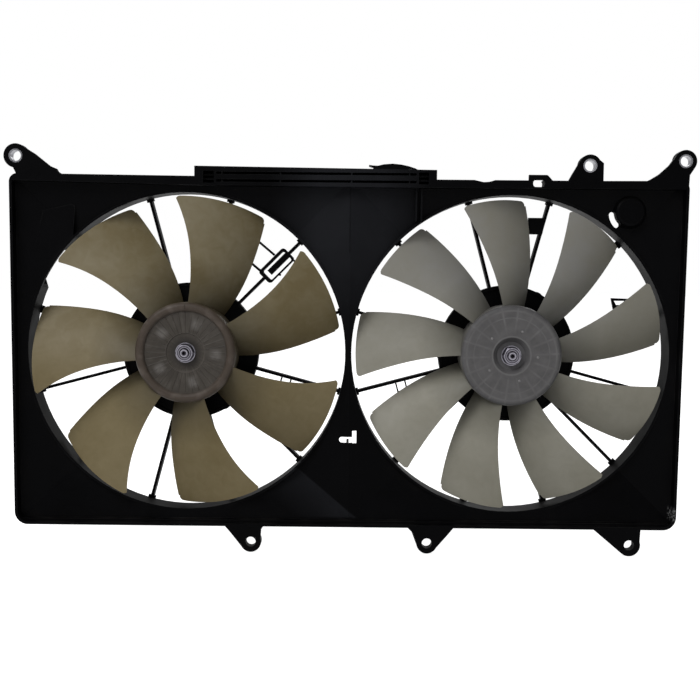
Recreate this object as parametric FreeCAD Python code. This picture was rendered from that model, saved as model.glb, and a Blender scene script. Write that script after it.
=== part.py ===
# Twin radiator cooling fan with shroud, in millimetres.
# X runs to the right and Z upward as the radiator side is looked at.  Y runs rearward, so the
# radiator side faces -Y and the motors stand at +Y.  Every piece is drawn about a point midway
# between the two fan axes, in the plane of the front lips of the fan rings.  The finished pieces
# are then moved so that the origin lies midway between the two upper outer mounting holes, on the
# front faces of their ears.
import FreeCAD, Part
import math
import os

os.makedirs("parts", exist_ok=True)

V = FreeCAD.Vector
AXIS_Y = V(0, 1, 0)

# Fan rings
RING_R = 171.0
RING_WALL = 2.5
RING_DEPTH = 26.0
RING_LIP_R = RING_R + 6.0
RING_LIP_T = 2.5
FAN_X = RING_R + 3.3

# Body of the shroud, which follows the rings; its ends lean a little
BODY_LEFT = -FAN_X - RING_R - 13.7
BODY_RIGHT = FAN_X + RING_R + 12.2
BODY_BOTTOM = -RING_R - 15.8
BODY_TOP = RING_R + 17.0
LEFT_LEAN = 1.0
RIGHT_LEAN = 3.3
CORNER_R_LOWER = 14.0
CORNER_R_UPPER = 9.0
RIM_Y = -14.0
RIM_WALL = 3.0
RIM_FACE_T = 3.0
LEDGE_W = 3.0
LEDGE_Y = -9.0
PANEL_EDGE_Y = -3.0
PANEL_INNER_Y = 8.5
PANEL_WALL = 2.5
PANEL_SLOPE_RUN = 62.0
RIDGE_X = 1.0
PAD_FRONT_Y = 1.5

# Mounting ears
EAR_T = 4.0
EAR_BOSS_LENGTH = 10.0
SLEEVE_HOLE_R = 5.6
SLEEVE_R = 7.2
LOWER_HOLE_R = 5.4
UPPER_EAR_Z = BODY_TOP + 18.5
UPPER_LEFT_X = BODY_LEFT + 7.5
UPPER_INNER_X = BODY_RIGHT - 105.1
UPPER_INNER_Z = UPPER_EAR_Z - 5.5
UPPER_RIGHT_X = BODY_RIGHT - 5.0
LOWER_EAR_Z = BODY_BOTTOM - 16.7
LOWER_EAR_XS = (70.8 - FAN_X, FAN_X - 87.8, BODY_RIGHT - 53.0)
UPPER_EAR_RS = (12.7, 11.7, 11.7)
LOWER_EAR_RS = (11.2, 11.2, 12.0)

ORIGIN_X = (UPPER_LEFT_X + UPPER_RIGHT_X) / 2

# Duct rail along the top edge
RAIL_LEFT = 10.8 - FAN_X
RAIL_RIGHT = FAN_X - 82.5
RAIL_TOP = BODY_TOP + 9.5
RAIL_DROP = 2.3
RAIL_REAR_Y = 8.0
RAIL_WALL = 2.5
RAIL_GROOVE_W = 2.6
RAIL_GROOVE_ZS = (BODY_TOP + 2.4, BODY_TOP - 5.6)
RAIL_GUSSET_XS = (-134.5, -73.0, 2.0, 63.0)
RAIL_POCKETS = ((RAIL_LEFT + 9.0, RAIL_LEFT + 20.5), (RAIL_RIGHT - 19.0, RAIL_RIGHT - 8.5))

# Top edge of the body and lower edge of its rim band, as X and Z pairs from left to right
TOP_EDGE = (
    (BODY_LEFT, BODY_TOP + 0.4),
    (RAIL_LEFT, BODY_TOP - 1.1),
    (RAIL_RIGHT, BODY_TOP - 2.8),
    (BODY_RIGHT - 98.0, BODY_TOP - 2.8),
    (BODY_RIGHT, BODY_TOP - 2.0),
)
BAND_EDGE = (
    (BODY_LEFT, BODY_TOP - 7.0),
    (RAIL_LEFT, BODY_TOP - 10.5),
    (RAIL_RIGHT, BODY_TOP - 11.5),
    (BODY_RIGHT, BODY_TOP - 11.0),
)

# Dip in the top rim, and the tab with a small slot under it
DIP_X = FAN_X - 32.3
TAB_X = FAN_X + 24.9

# Cable slot below the neck between the rings
CABLE_SLOT_Z = 73.4 - RING_R

# Pad beside the left ring, and round dome in the upper right corner
PAD_X = BODY_LEFT + 31.0
PAD_Z = BODY_TOP - 37.0
DOME_X = BODY_RIGHT - 58.0
DOME_Z = BODY_TOP - 33.5
DOME_R = 18.5
DOME_TOP_R = 14.0
DOME_HOLLOW_R = 12.0
CRESCENT_OUT_R = 22.0
CRESCENT_IN_R = 16.0
CRESCENT_ANGLES = (190.0, 227.0)

# Motor stays
STRUT_COUNT = 12
STRUT_FIRST_ANGLE = 15.0
STRUT_T = 3.2
STRUT_FOOT_W = 8.0
STRUT_REAR_Y = 36.0
CABLE_RIB_W = 2.4
STAY_R = 75.0
STAY_RIM_T = 3.0
STAY_PLATE_FRONT_Y = 29.0
STAY_PLATE_T = 4.0
BOSS_CIRCLE_R = 67.0
BOSS_R = 9.0
BOSS_ANGLES = (62.0, 182.0, 302.0)
SCREW_HOLE_R = 2.6
SCREW_HOLE_FRONT_Y = STAY_PLATE_FRONT_Y + 1.5

# Motor housing
CAN_R = 44.0
CAN_WALL = 2.0
CAN_FRONT_Y = 9.0
CAN_REAR_Y = 66.0
CAN_FLANGE_R = CAN_R + 8.0
CAN_FLANGE_T = 2.0
STAY_BORE_R = CAN_R + 2.0
BRACKET_T = 2.5
BRACKET_R = CAN_FLANGE_R + 1.0
COVER_T = 2.5
COVER_SCREW_R = CAN_R + 4.0
COVER_SCREW_ANGLES = (45.0, 135.0, 225.0, 315.0)
COVER_CUP_R = 12.0
COVER_CUP_REAR_Y = 78.0
SOCKET_Z = 13.0 - CAN_R
SOCKET_HALF = 11.0
SOCKET_DEPTH = 16.0
SOCKET_WALL = 2.0
SOCKET_GAP = 0.2
TERMINAL_XS = (-4.5, 4.5)

# Bearings and shaft
SHAFT_R = 5.0
RUNNING_FIT = 0.03
SLIDE_FIT = 0.02
BEARING_R = 13.0
BEARING_W = 8.0
BUSH_R = 9.0
BUSH_W = 7.0
SHAFT_FRONT_Y = -18.5
SHAFT_REAR_Y = 75.0
THREAD_R = 4.9
THREAD_REAR_Y = -6.0
SHAFT_FLAT_Z = SHAFT_R - 0.8
CENTRE_HOLE_R = 1.9

# Motor inner parts
MAGNET_T = 8.0
MAGNET_IN_R = CAN_R - CAN_WALL - MAGNET_T
MAGNET_FRONT_Y = 22.0
MAGNET_REAR_Y = 54.0
MAGNET_SPAN = 140.0
AIR_GAP = 0.8
CORE_R = MAGNET_IN_R - AIR_GAP
CORE_FRONT_Y = 25.0
CORE_REAR_Y = 50.0
SLOT_COUNT = 12
SLOT_W = 4.0
SLOT_BOTTOM_R = 15.0
WINDING_OVERHANG = 5.0
WINDING_R = CORE_R - 3.2
COMMUTATOR_R = 12.0
COMMUTATOR_FRONT_Y = 56.5
COMMUTATOR_REAR_Y = 65.0
CARD_FRONT_Y = 57.0
CARD_T = 2.0
BRUSH_LENGTH = 11.0
BRUSH_W = 6.0
BRUSH_T = 5.0
BRUSH_GAP = 0.05

# Fan wheels
HUB_R = 54.0
HUB_WALL = 3.0
HUB_FRONT_Y = -13.0
HUB_REAR_Y = 24.0
HUB_EDGE_R = 5.0
HUB_FACE_T = 3.0
SEAT_Y = -8.0
BOSS_OUTER_R = 13.0
HUB_BOSS_REAR_Y = 3.0
HUB_HOLE_R = SHAFT_R + 2.0
INSERT_R = 9.0
BEAD_R = 5.2
DISC_RIB_COUNT = 36
TIP_CLEARANCE = 4.5
TIP_R = RING_R - TIP_CLEARANCE
TIP_CORNER_R = 5.0
BLADE_ROOT_R = HUB_R - 1.7
WASHER_R = 10.8
WASHER_T = 1.6
NUT_FLATS = 17.0
NUT_H = 6.5

# Blade edges: share of the way out from root to tip, then the angles of the leading and the
# trailing edge in degrees
LEFT_BLADE = (
    (0.0, 86.8, 46.0),
    (0.17, 86.1, 48.2),
    (0.37, 86.0, 51.2),
    (0.59, 87.7, 54.7),
    (0.79, 90.4, 57.5),
    (0.95, 93.2, 60.0),
    (1.0, 94.2, 60.8),
)
RIGHT_BLADE = (
    (0.0, 100.5, 70.5),
    (0.2, 101.9, 73.6),
    (0.44, 102.9, 76.8),
    (0.72, 106.3, 80.9),
    (0.94, 108.6, 84.3),
    (1.0, 109.2, 85.2),
)
# Depth of the blade edges: leading edge at root and tip, then trailing edge at root and tip
LEFT_BLADE_YS = (-10.0, -12.0, 22.0, 21.0)
RIGHT_BLADE_YS = (-9.0, -3.0, 20.0, 19.0)
BLADE_CAMBER = 4.5
BLADE_T_ROOT = 3.2
BLADE_T_TIP = 2.2
BLADE_ROWS = (0.0, 0.33, 0.68, 1.05)
BLADE_STEPS = 4


def box(x0, x1, y0, y1, z0, z1):
    return Part.makeBox(x1 - x0, y1 - y0, z1 - z0, V(x0, y0, z0))


def disc(radius, y0, y1, x=0.0, z=0.0):
    return Part.makeCylinder(radius, y1 - y0, V(x, y0, z), AXIS_Y)


def tube(outer, inner, y0, y1, x=0.0, z=0.0):
    return disc(outer, y0, y1, x, z).cut(disc(inner, y0 - 1, y1 + 1, x, z))


def polar(radius, angle):
    return radius * math.cos(math.radians(angle)), radius * math.sin(math.radians(angle))


def turned(shape, angle):
    # A positive angle turns counter-clockwise as seen from the radiator side.
    copy = shape.copy()
    copy.rotate(V(0, 0, 0), AXIS_Y, -angle)
    return copy


def moved(shape, x=0.0, y=0.0, z=0.0):
    copy = shape.copy()
    copy.translate(V(x, y, z))
    return copy


def plate(points, y0, y1):
    corners = [V(x, y0, z) for x, z in points]
    corners.append(corners[0])
    face = Part.Face(Part.makePolygon(corners))
    return face.extrude(V(0, y1 - y0, 0))


def revolved(profile):
    # The profile is a closed list of radius and Y pairs.
    corners = [V(radius, y, 0) for radius, y in profile]
    corners.append(corners[0])
    face = Part.Face(Part.makePolygon(corners))
    return face.revolve(V(0, 0, 0), AXIS_Y, 360)


def joined(shapes):
    result = shapes[0].fuse(shapes[1:])
    return result.removeSplitter()


def hexagon(flats, y0, y1):
    corner = flats / math.sqrt(3)
    return plate([polar(corner, 60 * k) for k in range(6)], y0, y1)


def rectangle_wire(x0, x1, z0, z1, y):
    corners = [V(x0, y, z0), V(x1, y, z0), V(x1, y, z1), V(x0, y, z1), V(x0, y, z0)]
    return Part.makePolygon(corners)


def frustum(outer, outer_y, inner, inner_y):
    wires = [rectangle_wire(*outer, outer_y), rectangle_wire(*inner, inner_y)]
    return Part.makeLoft(wires, True, True)


def height_along(edge, x):
    # Height of an edge given as X and Z pairs from left to right.
    for low, high in zip(edge, edge[1:]):
        if x <= high[0]:
            return low[1] + (x - low[0]) * (high[1] - low[1]) / (high[0] - low[0])
    return edge[-1][1]


def rail_top(x):
    return RAIL_TOP - RAIL_DROP * (x - RAIL_LEFT) / (RAIL_RIGHT - RAIL_LEFT)


def body_outline(inset, y0, y1):
    # Rounded outline of the shroud body, drawn inward by the inset.
    left = BODY_LEFT + inset
    right = BODY_RIGHT - inset
    bottom = BODY_BOTTOM + inset
    top = [(max(left, min(right, x)), z - inset) for x, z in TOP_EDGE]
    block = plate([(left + LEFT_LEAN, bottom), (right - RIGHT_LEAN, bottom)] + top[::-1], y0, y1)
    rounds = (
        (left + LEFT_LEAN, bottom, CORNER_R_LOWER),
        (right - RIGHT_LEAN, bottom, CORNER_R_LOWER),
        (left, top[0][1], CORNER_R_UPPER),
        (right, top[-1][1], CORNER_R_UPPER),
    )
    for x, z, radius in rounds:
        corner = [e for e in block.Edges if same_upright(e, x, z)]
        block = block.makeFillet(radius - inset, corner)
    return block


def same_upright(edge, x, z):
    for vertex in edge.Vertexes:
        if abs(vertex.Point.x - x) > 0.01 or abs(vertex.Point.z - z) > 0.01:
            return False
    return True


def rim_band(y0, y1, left, right, drop, rise):
    # Strip of the top rim between two places along it, trimmed below and above.
    low = [(left, height_along(BAND_EDGE, left) + rise)]
    high = [(left, height_along(TOP_EDGE, left) - drop)]
    for edge, strip, offset in ((BAND_EDGE, low, rise), (TOP_EDGE, high, -drop)):
        for x, z in edge:
            if left < x < right:
                strip.append((x, z + offset))
        strip.append((right, height_along(edge, right) + offset))
    return plate(low + high[::-1], y0, y1)


def tray(inset, edge_y, inner_y, front_y):
    # Hollow of the shroud in front of the panel: two shallow funnels that meet at the centre ridge.
    left = BODY_LEFT + inset
    right = BODY_RIGHT - inset
    bottom = BODY_BOTTOM + inset
    top = BODY_TOP - inset
    run = PANEL_SLOPE_RUN - inset
    parts = [body_outline(inset, front_y, edge_y)]
    for x0, x1 in ((left, RIDGE_X), (RIDGE_X, right)):
        outer = (x0, x1, bottom, top)
        inner = (x0 + run, x1 - run, bottom + run, top - run)
        parts.append(frustum(outer, edge_y, inner, inner_y))
    return joined(parts).common(body_outline(inset, front_y, inner_y))


def placed_at(points, x, z):
    return [(x + dx, z + dz) for dx, dz in points]


def ear(points, radius, x, z):
    # The web's corners are given from the centre of the hole.
    web = plate(placed_at(points, x, z), RIM_Y, RIM_Y + EAR_T)
    boss = disc(radius, RIM_Y, RIM_Y + EAR_BOSS_LENGTH, x, z)
    return web.fuse(boss)


def rail_block():
    foot = RAIL_GROOVE_ZS[1] - 5.0
    outline = [(RAIL_LEFT, foot), (RAIL_RIGHT, foot)]
    outline += [(RAIL_RIGHT, rail_top(RAIL_RIGHT)), (RAIL_LEFT, rail_top(RAIL_LEFT))]
    return plate(outline, RIM_Y, RAIL_REAR_Y)


def rail_cuts():
    # Two long grooves, a deep pocket at each end, and the middle bar hollowed from behind.
    floor = RAIL_REAR_Y - RAIL_WALL
    groove_left = RAIL_POCKETS[0][1] + RAIL_WALL
    groove_right = RAIL_POCKETS[1][0] - RAIL_WALL
    half = RAIL_GROOVE_W / 2
    cuts = []
    for z in RAIL_GROOVE_ZS:
        cuts.append(box(groove_left, groove_right, RIM_Y - 1, floor, z - half, z + half))
    for x0, x1 in RAIL_POCKETS:
        cuts.append(box(x0, x1, RIM_Y - 1, floor, BODY_TOP - 8, BODY_TOP + 4.5))
    low = RAIL_GROOVE_ZS[1] + half + 1.8
    high = RAIL_GROOVE_ZS[0] - half - 1.8
    cuts.append(box(groove_left, groove_right, RIM_Y + RIM_FACE_T, RAIL_REAR_Y + 1, low, high))
    return cuts


def rail_gussets():
    half = RAIL_GROOVE_W / 2
    gussets = []
    for x in RAIL_GUSSET_XS:
        for z in RAIL_GROOVE_ZS:
            low = z - half - 0.5
            high = z + half + 0.5
            gussets.append(box(x - 0.8, x + 0.8, RIM_Y + 1, RAIL_REAR_Y - RAIL_WALL + 1, low, high))
    # Cross bars that step each end pocket.
    for x0, x1 in RAIL_POCKETS:
        for z in (BODY_TOP - 3.6, BODY_TOP + 0.8):
            gussets.append(box(x0 - 0.5, x1 + 0.5, RIM_Y + 6, RAIL_REAR_Y - 1, z - 0.8, z + 0.8))
    return gussets


def make_shroud():
    shell = tray(0.0, PANEL_EDGE_Y + PANEL_WALL, PANEL_INNER_Y + PANEL_WALL, RIM_Y)
    skin = shell.copy()
    hollow = tray(RIM_WALL, PANEL_EDGE_Y, PANEL_INNER_Y, RIM_Y - 1)
    shell = shell.cut(hollow)

    # The top rim is a broad band, turned over and open behind; a ledge runs along the lower rim.
    left = BODY_LEFT + RIM_WALL
    right = BODY_RIGHT - RIM_WALL
    parts = [shell]
    band = rim_band(RIM_Y, PANEL_EDGE_Y + PANEL_WALL, left, right, 0.5, 0.0)
    parts.append(band.common(skin))
    ledge = box(left, right, LEDGE_Y, PANEL_EDGE_Y + 1, BODY_BOTTOM + 1, BODY_BOTTOM + RIM_WALL + LEDGE_W)
    parts.append(ledge.common(skin))
    for side in (-1, 1):
        x = side * FAN_X
        parts.append(disc(RING_R + RING_WALL, 0.0, RING_DEPTH, x))
        parts.append(disc(RING_LIP_R, RING_DEPTH - RING_LIP_T, RING_DEPTH, x))
    web_z = RING_R - 31.0
    parts.append(box(-RING_WALL / 2, RING_WALL / 2, PANEL_EDGE_Y + 1, RING_DEPTH, -web_z, web_z))

    # Ears: the upper ones carry metal sleeves, the lower ones have plain holes.
    upper_webs = (
        [(1, -25), (0.2, -18.8), (-3.2, -11.6), (-7.6, -9.5), (9, 9), (20, 2.3), (36, -10.4),
         (43, -13.3), (44.6, -16.3), (51, -20.5), (51, -25)],
        [(-23.2, -17.5), (-19.2, -10), (-10.2, 5.5), (10, 6), (14.2, 2.8), (14.2, -17.5)],
        [(-42, -22), (-36, -19), (-27.6, -13.9), (-17.5, -4.7), (-8.5, 7.6), (9.5, -7),
         (4.6, -14.5), (4, -29), (-3, -29)],
    )
    for hole, radius, points in zip(upper_holes(), UPPER_EAR_RS, upper_webs):
        parts.append(ear(points, radius, *hole))
    lower_webs = (
        [(-28.5, 17.5), (-21.5, 9.5), (-10, -5), (10, -2.5), (11.2, 13.5), (14, 17.5)],
        [(-21.5, 17.5), (-16.5, 12.5), (-11.2, -1.5), (10, -5), (22.5, 9.5), (29, 17.5)],
        [(-39.5, 17.5), (-8, -9), (11, -3.5), (12, 17.5)],
    )
    for x, radius, points in zip(LOWER_EAR_XS, LOWER_EAR_RS, lower_webs):
        parts.append(ear(points, radius, x, LOWER_EAR_Z))

    parts.append(rail_block())
    # Tab above the small slot near the right ring, with one sloping side.
    tab = [(-10.7, -6), (-10.7, 3), (8.2, 3), (9.5, 2.2), (14.8, -3.5), (14.8, -6)]
    parts.append(plate(placed_at(tab, TAB_X, BODY_TOP), RIM_Y, RIM_Y + EAR_T))
    # Pair of upright ribs between the rail and the right ring.
    for x in (RAIL_RIGHT - 21.0, RAIL_RIGHT - 15.5):
        rib = box(x - 0.8, x + 0.8, RIM_Y + 6, PANEL_INNER_Y, BODY_TOP - 46, BODY_TOP - 10)
        parts.append(rib.common(skin))
    # Raised pad beside the left ring, and the round dome in the upper right corner.
    pad = [(0, 0), (31, 6.5), (34, 4), (31.5, -33), (-6, -91), (-15, -56)]
    pad = plate(placed_at(pad, PAD_X, PAD_Z), PAD_FRONT_Y, PANEL_INNER_Y + PANEL_WALL)
    parts.append(pad.common(skin))
    dome_base = V(DOME_X, PANEL_EDGE_Y + 6.0, DOME_Z)
    parts.append(Part.makeCone(DOME_R, DOME_TOP_R + 1.2, 5.8, dome_base, V(0, -1, 0)))
    dome_top = V(DOME_X, PANEL_EDGE_Y + 0.2, DOME_Z)
    parts.append(Part.makeCone(DOME_TOP_R + 1.2, DOME_TOP_R - 0.6, 1.2, dome_top, V(0, -1, 0)))
    shroud = joined(parts)

    cuts = rail_cuts()
    for side in (-1, 1):
        cuts.append(disc(RING_R, RIM_Y - 1, RING_DEPTH + 1, side * FAN_X))
    for x, z in upper_holes():
        cuts.append(disc(SLEEVE_R, RIM_Y - 1, RAIL_REAR_Y, x, z))
    for x in LOWER_EAR_XS:
        cuts.append(disc(LOWER_HOLE_R, RIM_Y - 1, RAIL_REAR_Y, x, LOWER_EAR_Z))
    # The band is emptied from behind, except at the dip, the tab and the rail.
    channel_y = RIM_Y + RIM_FACE_T
    runs = (
        (BODY_LEFT + 12, RAIL_LEFT - RAIL_WALL),
        (RAIL_RIGHT + RAIL_WALL, DIP_X - 18),
        (TAB_X + 16, BODY_RIGHT - 12),
    )
    for x0, x1 in runs:
        cuts.append(rim_band(channel_y, RING_DEPTH, x0, x1, RIM_WALL, RIM_WALL))
    # The top rim dips a little between the rail and the tab.
    dip = [(-14, 1), (-14, -2), (-8, -3.5), (-1, -5), (5, -4.6), (14, -2), (14, 1)]
    cuts.append(plate(placed_at(dip, DIP_X, BODY_TOP), RIM_Y - 1, PANEL_EDGE_Y + PANEL_WALL + 1))
    # Fine parting groove down the middle of the neck.
    cuts.append(box(RIDGE_X - 0.7, RIDGE_X + 0.7, RIM_Y, PANEL_EDGE_Y + 1, BODY_TOP - 80, BODY_TOP - 12))
    # Backs of the pad and the dome are hollow.
    pad_back = [(3, -3), (28.5, 3), (31, 0), (28.5, -31), (-3, -83), (-10.5, -56)]
    cuts.append(plate(placed_at(pad_back, PAD_X, PAD_Z), PAD_FRONT_Y + PANEL_WALL, RING_DEPTH))
    cuts.append(disc(DOME_HOLLOW_R, PANEL_EDGE_Y + 1.5, RING_DEPTH, DOME_X, DOME_Z))
    # Slot under the tab, cable slot below the neck, and the crescent beside the dome.
    cuts.append(rounded_slot(TAB_X - 6.3, TAB_X + 5.7, BODY_TOP - 9.6, BODY_TOP - 2.3, 3.0))
    cuts.append(rounded_slot(-9.2, 7, CABLE_SLOT_Z + 0.6, CABLE_SLOT_Z + 7.1, 3.2))
    cuts.append(rounded_slot(5, 9.6, CABLE_SLOT_Z, CABLE_SLOT_Z + 13.9, 0.6))
    middle = (CRESCENT_OUT_R + CRESCENT_IN_R) / 2
    half = (CRESCENT_OUT_R - CRESCENT_IN_R) / 2
    crescent = tube(CRESCENT_OUT_R, CRESCENT_IN_R, RIM_Y, RING_DEPTH, DOME_X, DOME_Z)
    first = polar(2 * DOME_R, CRESCENT_ANGLES[0])
    last = polar(2 * DOME_R, CRESCENT_ANGLES[1])
    wedge = placed_at([(0, 0), first, last], DOME_X, DOME_Z)
    cuts.append(crescent.common(plate(wedge, RIM_Y, RING_DEPTH)))
    for angle in CRESCENT_ANGLES:
        dx, dz = polar(middle, angle)
        cuts.append(disc(half, RIM_Y, RING_DEPTH, DOME_X + dx, DOME_Z + dz))
    return joined([shroud.cut(cuts)] + rail_gussets())


def rounded_slot(x0, x1, z0, z1, radius):
    # Opening through the panel with rounded corners.
    return rounded_bar(x0, x1, RIM_Y - 1, RING_DEPTH + 4, z0, z1, radius)


def upper_holes():
    return (
        (UPPER_LEFT_X, UPPER_EAR_Z),
        (UPPER_INNER_X, UPPER_INNER_Z),
        (UPPER_RIGHT_X, UPPER_EAR_Z),
    )


def make_stay():
    # Twelve radial struts and the ring that carries the motor, centred on the fan axis.
    outer_r = RING_R + RING_WALL
    parts = []
    for k in range(STRUT_COUNT):
        strut = box(STAY_R - 2, outer_r, RING_DEPTH, STRUT_REAR_Y, -STRUT_T / 2, STRUT_T / 2)
        parts.append(turned(strut, STRUT_FIRST_ANGLE + k * 360.0 / STRUT_COUNT))
        foot = box(RING_R - 2.5, outer_r, RING_DEPTH, RING_DEPTH + 4, -STRUT_FOOT_W / 2, STRUT_FOOT_W / 2)
        parts.append(turned(foot, STRUT_FIRST_ANGLE + k * 360.0 / STRUT_COUNT))
    plate_rear = STAY_PLATE_FRONT_Y + STAY_PLATE_T
    parts.append(disc(STAY_R, RING_DEPTH, STRUT_REAR_Y).cut(disc(STAY_R - STAY_RIM_T, 0, 50)))
    parts.append(disc(STAY_R - 1, STAY_PLATE_FRONT_Y, plate_rear))
    for angle in BOSS_ANGLES:
        x, z = polar(BOSS_CIRCLE_R, angle)
        parts.append(disc(BOSS_R, STAY_PLATE_FRONT_Y, STRUT_REAR_Y, x, z))
    stay = joined(parts)
    cuts = [disc(STAY_BORE_R, RING_DEPTH - 1, STRUT_REAR_Y + 1)]
    for angle in BOSS_ANGLES:
        x, z = polar(BOSS_CIRCLE_R, angle)
        cuts.append(disc(SCREW_HOLE_R, SCREW_HOLE_FRONT_Y, STRUT_REAR_Y + 1, x, z))
    return stay.cut(cuts)


def bar(start, end, width, y0, y1):
    # Straight rib between two points given as X and Z pairs.
    dx = end[0] - start[0]
    dz = end[1] - start[1]
    length = math.hypot(dx, dz)
    angle = math.degrees(math.atan2(dz, dx))
    rib = turned(box(0, length, y0, y1, -width / 2, width / 2), angle)
    return moved(rib, start[0], 0, start[1])


def connector_holder():
    # Rounded frame with an inner tongue that takes a plug; it stands in the strut at 45 degrees.
    rear = STRUT_REAR_Y - 2
    frame = rounded_bar(114.0, 153.0, RING_DEPTH, rear, -9.2, 9.2, 3.5)
    window = rounded_bar(118.0, 150.0, RING_DEPTH - 1, rear + 1, -7.4, 6.0, 2.0)
    tongue = box(122.5, 151.0, RING_DEPTH, rear, -3.2, 3.2)
    parts = [frame.cut(window), tongue]
    for outward, across in ((117.0, 9.0), (151.0, -10.8), (129.0, -10.8)):
        parts.append(box(outward - 1, outward + 1, RING_DEPTH, RING_DEPTH + 5, across, across + 1.8))
    return turned(joined(parts), 45)


def rounded_bar(x0, x1, y0, y1, z0, z1, radius):
    block = box(x0, x1, y0, y1, z0, z1)
    uprights = [e for e in block.Edges if abs(e.Vertexes[0].Y - e.Vertexes[1].Y) > 1]
    return block.makeFillet(radius, uprights)


def cable_loop(radius, angle):
    # Small wire guide under a strut.
    outer = box(radius, radius + 12, RING_DEPTH, RING_DEPTH + 5, -13, 0)
    inner = box(radius + 1.6, radius + 10.4, RING_DEPTH - 1, RING_DEPTH + 6, -11.4, -1.6)
    return turned(outer.cut(inner), angle)


def make_left_stay():
    stay = make_stay()
    gap = turned(box(116.0, 151.5, RING_DEPTH - 1, STRUT_REAR_Y + 1, -7.4, 6.0), 45)
    stay = stay.cut(gap)
    rib_rear = RING_DEPTH + 6
    parts = [stay, connector_holder(), cable_loop(104, -15)]
    parts.append(bar((92.0, 106.0), (40.6, 149.0), CABLE_RIB_W, RING_DEPTH, rib_rear))
    parts.append(bar((76.5, 88.5), (33.8, 124.5), CABLE_RIB_W, RING_DEPTH, rib_rear))
    return moved(joined(parts), -FAN_X)


def make_right_stay():
    parts = [make_stay(), cable_loop(-127, 15)]
    # Flat tab beside the strut at 75 degrees.
    parts.append(plate([(21.5, 131), (37, 131), (41, 149), (21.5, 149)], RING_DEPTH, RING_DEPTH + 3))
    # Triangular bracket with an eye above the strut at 15 degrees.
    bracket = plate([(114.3, 62), (133, 61.5), (129, 34), (121, 32)], RING_DEPTH, RING_DEPTH + 3)
    eye = plate([(117.5, 59), (129.5, 59), (128, 54.5), (120, 54.5)], 20, 40)
    parts.append(bracket.cut(eye))
    return moved(joined(parts), FAN_X)


def make_can():
    nose_r = BEARING_R + CAN_WALL
    nose_rear = CAN_FRONT_Y + CAN_WALL + BEARING_W
    profile = [
        (SHAFT_R + 2, CAN_FRONT_Y),
        (CAN_R - 3, CAN_FRONT_Y),
        (CAN_R, CAN_FRONT_Y + 3),
        (CAN_R, CAN_REAR_Y - CAN_FLANGE_T),
        (CAN_FLANGE_R, CAN_REAR_Y - CAN_FLANGE_T),
        (CAN_FLANGE_R, CAN_REAR_Y),
        (CAN_R - CAN_WALL, CAN_REAR_Y),
        (CAN_R - CAN_WALL, CAN_FRONT_Y + 4),
        (CAN_R - 4, CAN_FRONT_Y + CAN_WALL),
        (nose_r, CAN_FRONT_Y + CAN_WALL),
        (nose_r, nose_rear),
        (BEARING_R, nose_rear),
        (BEARING_R, CAN_FRONT_Y + CAN_WALL),
        (SHAFT_R + 2, CAN_FRONT_Y + CAN_WALL),
    ]
    can = revolved(profile)
    holes = []
    for angle in COVER_SCREW_ANGLES:
        x, z = polar(COVER_SCREW_R, angle)
        holes.append(disc(1.9, CAN_REAR_Y - 4, CAN_REAR_Y + 1, x, z))
    return can.cut(holes)


def make_bracket():
    parts = [disc(BRACKET_R, STRUT_REAR_Y, STRUT_REAR_Y + BRACKET_T)]
    for angle in BOSS_ANGLES:
        lug = box(CAN_R, BOSS_CIRCLE_R, STRUT_REAR_Y, STRUT_REAR_Y + BRACKET_T, -8, 8)
        parts.append(turned(lug, angle))
        x, z = polar(BOSS_CIRCLE_R, angle)
        parts.append(disc(8, STRUT_REAR_Y, STRUT_REAR_Y + BRACKET_T, x, z))
    bracket = joined(parts)
    cuts = [disc(CAN_R, STRUT_REAR_Y - 1, STRUT_REAR_Y + 10)]
    for angle in BOSS_ANGLES:
        x, z = polar(BOSS_CIRCLE_R, angle)
        cuts.append(disc(3.2, STRUT_REAR_Y - 1, STRUT_REAR_Y + 10, x, z))
    return bracket.cut(cuts)


def make_screw(shank_r, head_flats, head_h, shank_length):
    # Flange-head screw driven forward, with the underside of its head at Y = 0.
    flange = disc(head_flats * 0.62, 0, 1.0)
    head = hexagon(head_flats, 1.0, head_h)
    shank = disc(shank_r, -shank_length, 0)
    return joined([flange, head, shank])


def make_mount_screws():
    screws = []
    for angle in BOSS_ANGLES:
        x, z = polar(BOSS_CIRCLE_R, angle)
        screws.append(moved(make_screw(2.55, 8.0, 5.0, 7.0), x, STRUT_REAR_Y + BRACKET_T, z))
    return Part.makeCompound(screws)


def make_cover_screws():
    screws = []
    for angle in COVER_SCREW_ANGLES:
        x, z = polar(COVER_SCREW_R, angle)
        screws.append(moved(make_screw(1.85, 5.0, 3.0, 4.5), x, CAN_REAR_Y + COVER_T, z))
    return Part.makeCompound(screws)


def make_cover():
    rear = CAN_REAR_Y + COVER_T
    parts = [disc(CAN_FLANGE_R, CAN_REAR_Y, rear)]
    parts.append(disc(COVER_CUP_R, CAN_REAR_Y, COVER_CUP_REAR_Y))
    cover = joined(parts)
    cuts = [disc(BUSH_R, CAN_REAR_Y - 1, COVER_CUP_REAR_Y - 2)]
    for angle in COVER_SCREW_ANGLES:
        x, z = polar(COVER_SCREW_R, angle)
        cuts.append(disc(1.95, CAN_REAR_Y - 1, rear + 1, x, z))
    window_x = SOCKET_HALF - SOCKET_WALL
    cuts.append(box(-window_x, window_x, CAN_REAR_Y - 1, rear + 1, SOCKET_Z - 5, SOCKET_Z + 7))
    return cover.cut(cuts)


def make_bearing():
    front = CAN_FRONT_Y + CAN_WALL
    bore = SHAFT_R + RUNNING_FIT
    ring = tube(BEARING_R, bore, front, front + BEARING_W)
    groove = tube(BEARING_R - 2, SHAFT_R + 2, front - 1, front + 0.5)
    return ring.cut([groove, moved(groove, 0, BEARING_W + 0.5, 0)])


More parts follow.
